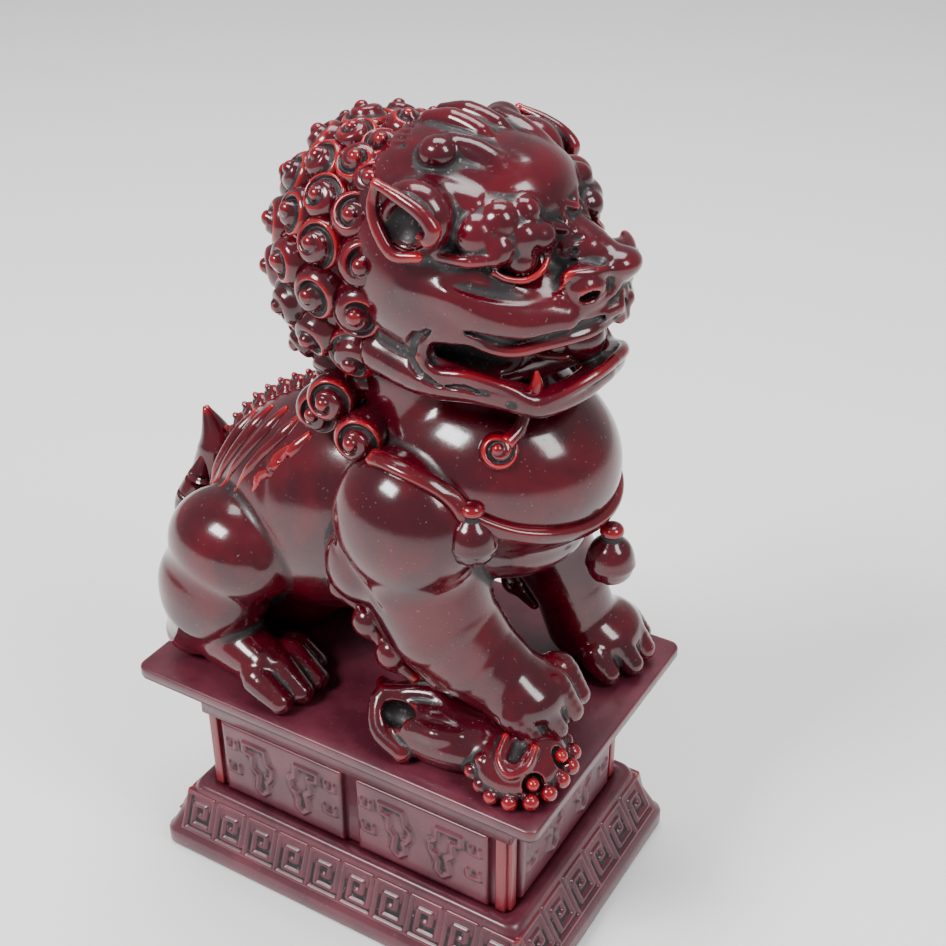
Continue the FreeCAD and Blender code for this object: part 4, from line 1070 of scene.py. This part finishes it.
def markRelief(piece, fine=3, broad=14):
    # curve of the surface at each point: how far the neighbours' normals lean away from it, per millimetre;
    # positive on ridges, negative in cracks; kept as two attributes from 0 to 1
    mesh = piece.data
    count = len(mesh.vertices)
    co = np.zeros(count * 3, np.float32)
    mesh.vertices.foreach_get("co", co)
    co = co.reshape(-1, 3).astype(float) / mm
    normal = np.zeros(count * 3, np.float32)
    mesh.vertices.foreach_get("normal", normal)
    normal = normal.reshape(-1, 3).astype(float)
    edges = np.zeros(len(mesh.edges) * 2, np.int32)
    mesh.edges.foreach_get("vertices", edges)
    edges = edges.reshape(-1, 2)
    gap = co[edges[:, 1]] - co[edges[:, 0]]
    lean = ((normal[edges[:, 1]] - normal[edges[:, 0]]) * gap).sum(1)
    lean = lean / np.maximum((gap * gap).sum(1), 0.01)
    curve = np.bincount(edges[:, 0], lean, count) + np.bincount(edges[:, 1], lean, count)
    curve /= np.maximum(np.bincount(edges.ravel(), minlength=count), 1)
    near = spreadOver(curve, edges, fine)
    wide = spreadOver(curve, edges, broad)
    wear = np.clip(near * 0.8 - 0.2, 0, 0.6) * 0.6 + np.clip(wide * 1.6 - 0.2, 0, 0.8) * 0.5
    # painted shade: the inward curve at two scales marks the cracks to be darkened, as if shaded
    soot = np.clip(-near * 1.5 - 0.06, 0, 1) * 0.7 + np.clip(-wide * 3.2 - 0.04, 0, 1) * 0.9
    for name, values in (("wear", wear), ("soot", soot)):
        layer = mesh.attributes.new(name, "FLOAT", "POINT")
        layer.data.foreach_set("value", np.clip(values, 0, 1).astype(np.float32))


class Wire:
    # a node socket that takes part in Python arithmetic; each operation adds its Math node
    def __init__(self, shader, socket):
        self.shader, self.socket = shader, socket

    def _math(self, operation, *terms):
        return self.shader.add("ShaderNodeMath", {"operation": operation}, dict(enumerate(terms)))

    def __add__(self, other):
        return self._math("ADD", self, other)

    def __radd__(self, other):
        return self._math("ADD", other, self)

    def __sub__(self, other):
        return self._math("SUBTRACT", self, other)

    def __rsub__(self, other):
        return self._math("SUBTRACT", other, self)

    def __mul__(self, other):
        return self._math("MULTIPLY", self, other)

    def __rmul__(self, other):
        return self._math("MULTIPLY", other, self)

    def __truediv__(self, other):
        return self._math("DIVIDE", self, other)

    def __pow__(self, other):
        return self._math("POWER", self, other)

    def clamped(self):
        return self.shader.add("ShaderNodeClamp", {}, {"Value": self})

    def ramped(self, low, high):  # 0 at low, 1 at high, smooth between
        return self.shader.add("ShaderNodeMapRange", {"interpolation_type": "SMOOTHSTEP"},
                               {"Value": self, "From Min": low, "From Max": high})


class Shader:
    def __init__(self, name):
        self.material = bpy.data.materials.new(name)
        self.material.use_nodes = True
        self.tree = self.material.node_tree
        self.tree.nodes.clear()

    def add(self, kind, settings, inputs, output=0):
        # a node of this type: its settings are set first, then the values or links of its sockets
        node = self.tree.nodes.new(kind)
        for key, value in settings.items():
            if key == "stops":
                ramp = node.color_ramp
                while len(ramp.elements) < len(value):
                    ramp.elements.new(0.5)
                for element, (place, colour) in zip(ramp.elements, value):
                    element.position, element.color = place, colour
            else:
                setattr(node, key, value)
        for key, value in inputs.items():
            socket = node.inputs[key]
            if isinstance(value, Wire):
                self.tree.links.new(value.socket, socket)
            else:
                socket.default_value = value
        return Wire(self, node.outputs[output]) if len(node.outputs) else None

    def noise(self, where, scale, detail=3.0, roughness=0.55):
        return self.add("ShaderNodeTexNoise", {}, {"Vector": where, "Scale": scale, "Detail": detail,
            "Roughness": roughness})

    def mix(self, factor, a, b):
        node = self.tree.nodes.new("ShaderNodeMix")
        node.data_type = "RGBA"
        for index, value in ((0, factor), (6, a), (7, b)):
            if isinstance(value, Wire):
                self.tree.links.new(value.socket, node.inputs[index])
            else:
                node.inputs[index].default_value = value
        return Wire(self, node.outputs[2])

    def end(self, surface):
        self.add("ShaderNodeOutputMaterial", {}, {"Surface": surface})
        return self.material


plinthTint = {"deep": (0.066, 0.009, 0.019, 1), "body": (0.112, 0.019, 0.033, 1),
              "bright": (0.25, 0.014, 0.02, 1)}

resinLooks = {
    "deep": (0.038, 0.0009, 0.0052, 1),
    "body": (0.082, 0.0011, 0.0070, 1),
    "bright": (0.330, 0.0040, 0.0080, 1),
    # near-black colour of the painted shade in the cracks
    "soot": (0.0065, 0.0045, 0.0055, 1),
    "dust": (0.300, 0.250, 0.255, 1),
    "specks": (0.46, 0.36, 0.36, 1),
    "roughness": 0.17,
    "creaseRoughness": 0.55,
    "coat": 0.3,
    "coatRoughness": 0.07,
}


def resin(name, brightness=1.0, creaseWeight=1.0, dusting=1.0, dullness=0.0, tint=()):
    looks = dict(resinLooks, **dict(tint))
    s = Shader(name)
    place = s.add("ShaderNodeTexCoord", {}, {}, "Object")
    wear = s.add("ShaderNodeAttribute", {"attribute_name": "wear"}, {}, "Fac")
    soot = s.add("ShaderNodeAttribute", {"attribute_name": "soot"}, {}, "Fac")
    cloud = s.noise(place, 90, 4)
    grain = s.noise(place, 900, 4)
    fleck = s.noise(place, 2600, 2)
    patch = s.noise(place, 260, 3)
    ridge = (wear + (cloud - 0.5) * 0.5 * wear + (patch - 0.5) * 0.25 * wear).ramped(0.12, 0.85)
    # crease mask: it paints shade into the cracks, and also gathers dust there, roughens them and thins the
    # coat
    crack = (soot * creaseWeight + (patch - 0.5) * 0.35 * soot + (grain - 0.5) * 0.3 * soot).ramped(0.1,
        0.55)
    base = s.mix(cloud.ramped(0.35, 0.68), looks["deep"], looks["body"])
    base = s.mix((ridge * brightness).clamped(), base, looks["bright"])
    # painted shade: the cracks darkened towards near black
    base = s.mix(crack * 0.96, base, looks["soot"])
    dusty = crack * grain.ramped(0.56, 0.66) * fleck.ramped(0.5, 0.62) * dusting
    base = s.mix((dusty * 0.5).clamped(), base, looks["dust"])
    speck = s.noise(place, 1500, 1, 0.3).ramped(0.735, 0.76) * (1 - crack)
    base = s.mix(speck * 0.1 * dusting, base, looks["specks"])
    rougher = looks["creaseRoughness"] - looks["roughness"]
    roughness = looks["roughness"] + dullness + (patch - 0.5) * 0.1 + crack * rougher
    coat = (1 - crack * 0.85) * (looks["coat"] * (1 - dullness * 1.6))
    height = grain * (0.25 + crack * 1.6) + patch * 0.8 + speck * 0.8
    bump = s.add("ShaderNodeBump", {}, {"Strength": 0.35 + dullness, "Distance": 0.00012,
        "Height": height})
    surface = s.add("ShaderNodeBsdfPrincipled", {}, {
        "Base Color": base, "Roughness": roughness, "Coat Weight": coat,
        "Coat Roughness": looks["coatRoughness"] + dullness * 0.7,
        "Coat IOR": 1.5, "IOR": 1.5, "Normal": bump})
    return s.end(surface)


def feltCloth():
    s = Shader("feltCloth")
    place = s.add("ShaderNodeTexCoord", {}, {}, "Object")
    fibre = s.noise(place, 3000, 4)
    tuft = s.noise(place, 500, 3)
    base = s.mix(tuft.ramped(0.3, 0.7), (0.012, 0.012, 0.014, 1), (0.035, 0.034, 0.038, 1))
    bump = s.add("ShaderNodeBump", {}, {"Strength": 0.6, "Distance": 0.0003, "Height": fibre})
    return s.end(s.add("ShaderNodeBsdfPrincipled", {}, {"Base Color": base, "Roughness": 0.95,
        "Sheen Weight": 0.3, "Normal": bump}))


def paint():
    gloss = resin("lionResin")
    hair = resin("hairResin", 1.25, 1.0)
    plinth = resin("plinthResin", 0.6, 0.9, 0.9, 0.16, plinthTint)
    felt = feltCloth()
    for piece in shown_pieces():
        if "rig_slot" not in piece:
            continue
        slot = piece["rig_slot"]
        piece.data.materials.clear()
        piece.data.materials.append({"felt": felt, "plinth_resin": plinth,
            "hair_resin": hair}.get(slot, gloss))
        if slot != "felt":
            markRelief(piece)


# Camera, floor and light.

viewLooks = {
    "cameraAt": (0.140838, -0.207720, 0.252782),
    "azimuth": 30.97,
    "down": 31.29,
    "roll": -0.207,
    "lens": 54.43,
    "floor": (0.86, 0.86, 0.85, 1),
    "world": (0.80, 0.81, 0.82, 1),
    "worldStrength": 0.5,
}


def areaLight(name, at, aim, size, watts):
    light = bpy.data.lights.new(name, "AREA")
    light.shape, light.size, light.size_y = "RECTANGLE", size[0], size[1]
    light.energy = watts
    lamp = bpy.data.objects.new(name, light)
    bpy.context.scene.collection.objects.link(lamp)
    lamp.location = at
    lamp.rotation_euler = (Vector(aim) - Vector(at)).to_track_quat("-Z", "Y").to_euler()


def makeSetting():
    looks = viewLooks
    camera = bpy.data.objects.new("camera", bpy.data.cameras.new("camera"))
    bpy.context.scene.collection.objects.link(camera)
    bpy.context.scene.camera = camera
    camera.data.sensor_width, camera.data.lens = 36, looks["lens"]
    camera.data.clip_start, camera.data.clip_end = 0.01, 10
    a, e = math.radians(looks["azimuth"]), math.radians(looks["down"])
    back = Vector((math.sin(a) * math.cos(e), -math.cos(a) * math.cos(e), math.sin(e)))
    look = (-back).to_track_quat("-Z", "Y").to_matrix()
    camera.rotation_euler = (look @ Matrix.Rotation(math.radians(looks["roll"]), 3, "Z")).to_euler()
    camera.location = looks["cameraAt"]
    world = bpy.data.worlds.new("studio")
    bpy.context.scene.world = world
    world.use_nodes = True
    world.node_tree.nodes["Background"].inputs[0].default_value = looks["world"]
    world.node_tree.nodes["Background"].inputs[1].default_value = looks["worldStrength"]
    # sweep: a floor that curves up far behind
    low = cadBox[0].z
    s = np.linspace(-1.6, 1.6, 60)
    t = np.linspace(-1.2, 2.4, 60)
    x, y = np.meshgrid(s, t)
    z = low + np.where(y > 1.2, (y - 1.2) ** 2 * 0.8, 0)
    mesh = bpy.data.meshes.new("sweep")
    points = np.stack((x, y, z), -1)
    mesh.from_pydata(points.reshape(-1, 3).tolist(), [], gridFaces(60, 60).tolist())
    mesh.polygons.foreach_set("use_smooth", np.full(len(mesh.polygons), True))
    floor = bpy.data.objects.new("sweep", mesh)
    bpy.context.scene.collection.objects.link(floor)
    s = Shader("sweepPaper")
    surface = s.add("ShaderNodeBsdfPrincipled", {}, {"Base Color": looks["floor"], "Roughness": 0.8})
    mesh.materials.append(s.end(surface))
    middle = (0.0, 0.0, 0.1)
    areaLight("keyLight", (-0.35, -0.75, 0.95), middle, (0.42, 0.3), 17)
    areaLight("sideLight", (0.75, -0.1, 0.85), middle, (0.3, 0.5), 7)
    areaLight("topLight", (-0.1, 0.25, 1.1), middle, (0.7, 0.5), 10)


# All of it.

cells = {"body": (0.6, 0.95), "head": (0.42, 0.8), "cub": (0.35, 0.7)}  # fine, and coarser while working


def build():
    makeFoot()
    makeFret()
    makeWaist()
    makePanels()
    makeSlab()
    makeFelt()
    print("plinth made")
    paired = ("haunch", "shoulder", "foreleg", "fore_paw", "hind_paw", "leg_tuft")
    bodyNodes = ["torso", "rump", "chest"] + [f"{n}_{s}" for n in paired for s in ("right", "left")]
    verts, faces = carved("body", bodyField, (-60, -37, slabTop - 1), (56, 37, 152), cells["body"][draft])
    newPiece("lionBody", verts, faces, bodyNodes[0], "lion_resin", bodyNodes[1:])
    headNodes = ["skull", "muzzle", "lower_jaw", "nose", "brow_boss", "forelocks", "brow_right",
                 "brow_left", "ear_right", "ear_left"]
    verts, faces = carved("head", headField, (-12, -30, 124), (54, 30, 182), cells["head"][draft])
    newPiece("lionHead", verts, faces, headNodes[0], "lion_resin", headNodes[1:])
    verts, faces = carved("cub", cubField, (-2, -37, slabTop - 1), (54, -6, 70), cells["cub"][draft])
    newPiece("cub", verts, faces, "cub_body", "cub_resin", ["cub_head", "cub_leg", "cub_ears"])
    makeMouth()
    centre, radii = makeMane()
    makeCurls(centre, radii)
    makeCollar()
    for name in ("front", "right", "left"):
        makeBell(name)
    makeBeard()
    makeTail()
    makeBack()
    print("lion made")
    paint()
    makeSetting()


build()
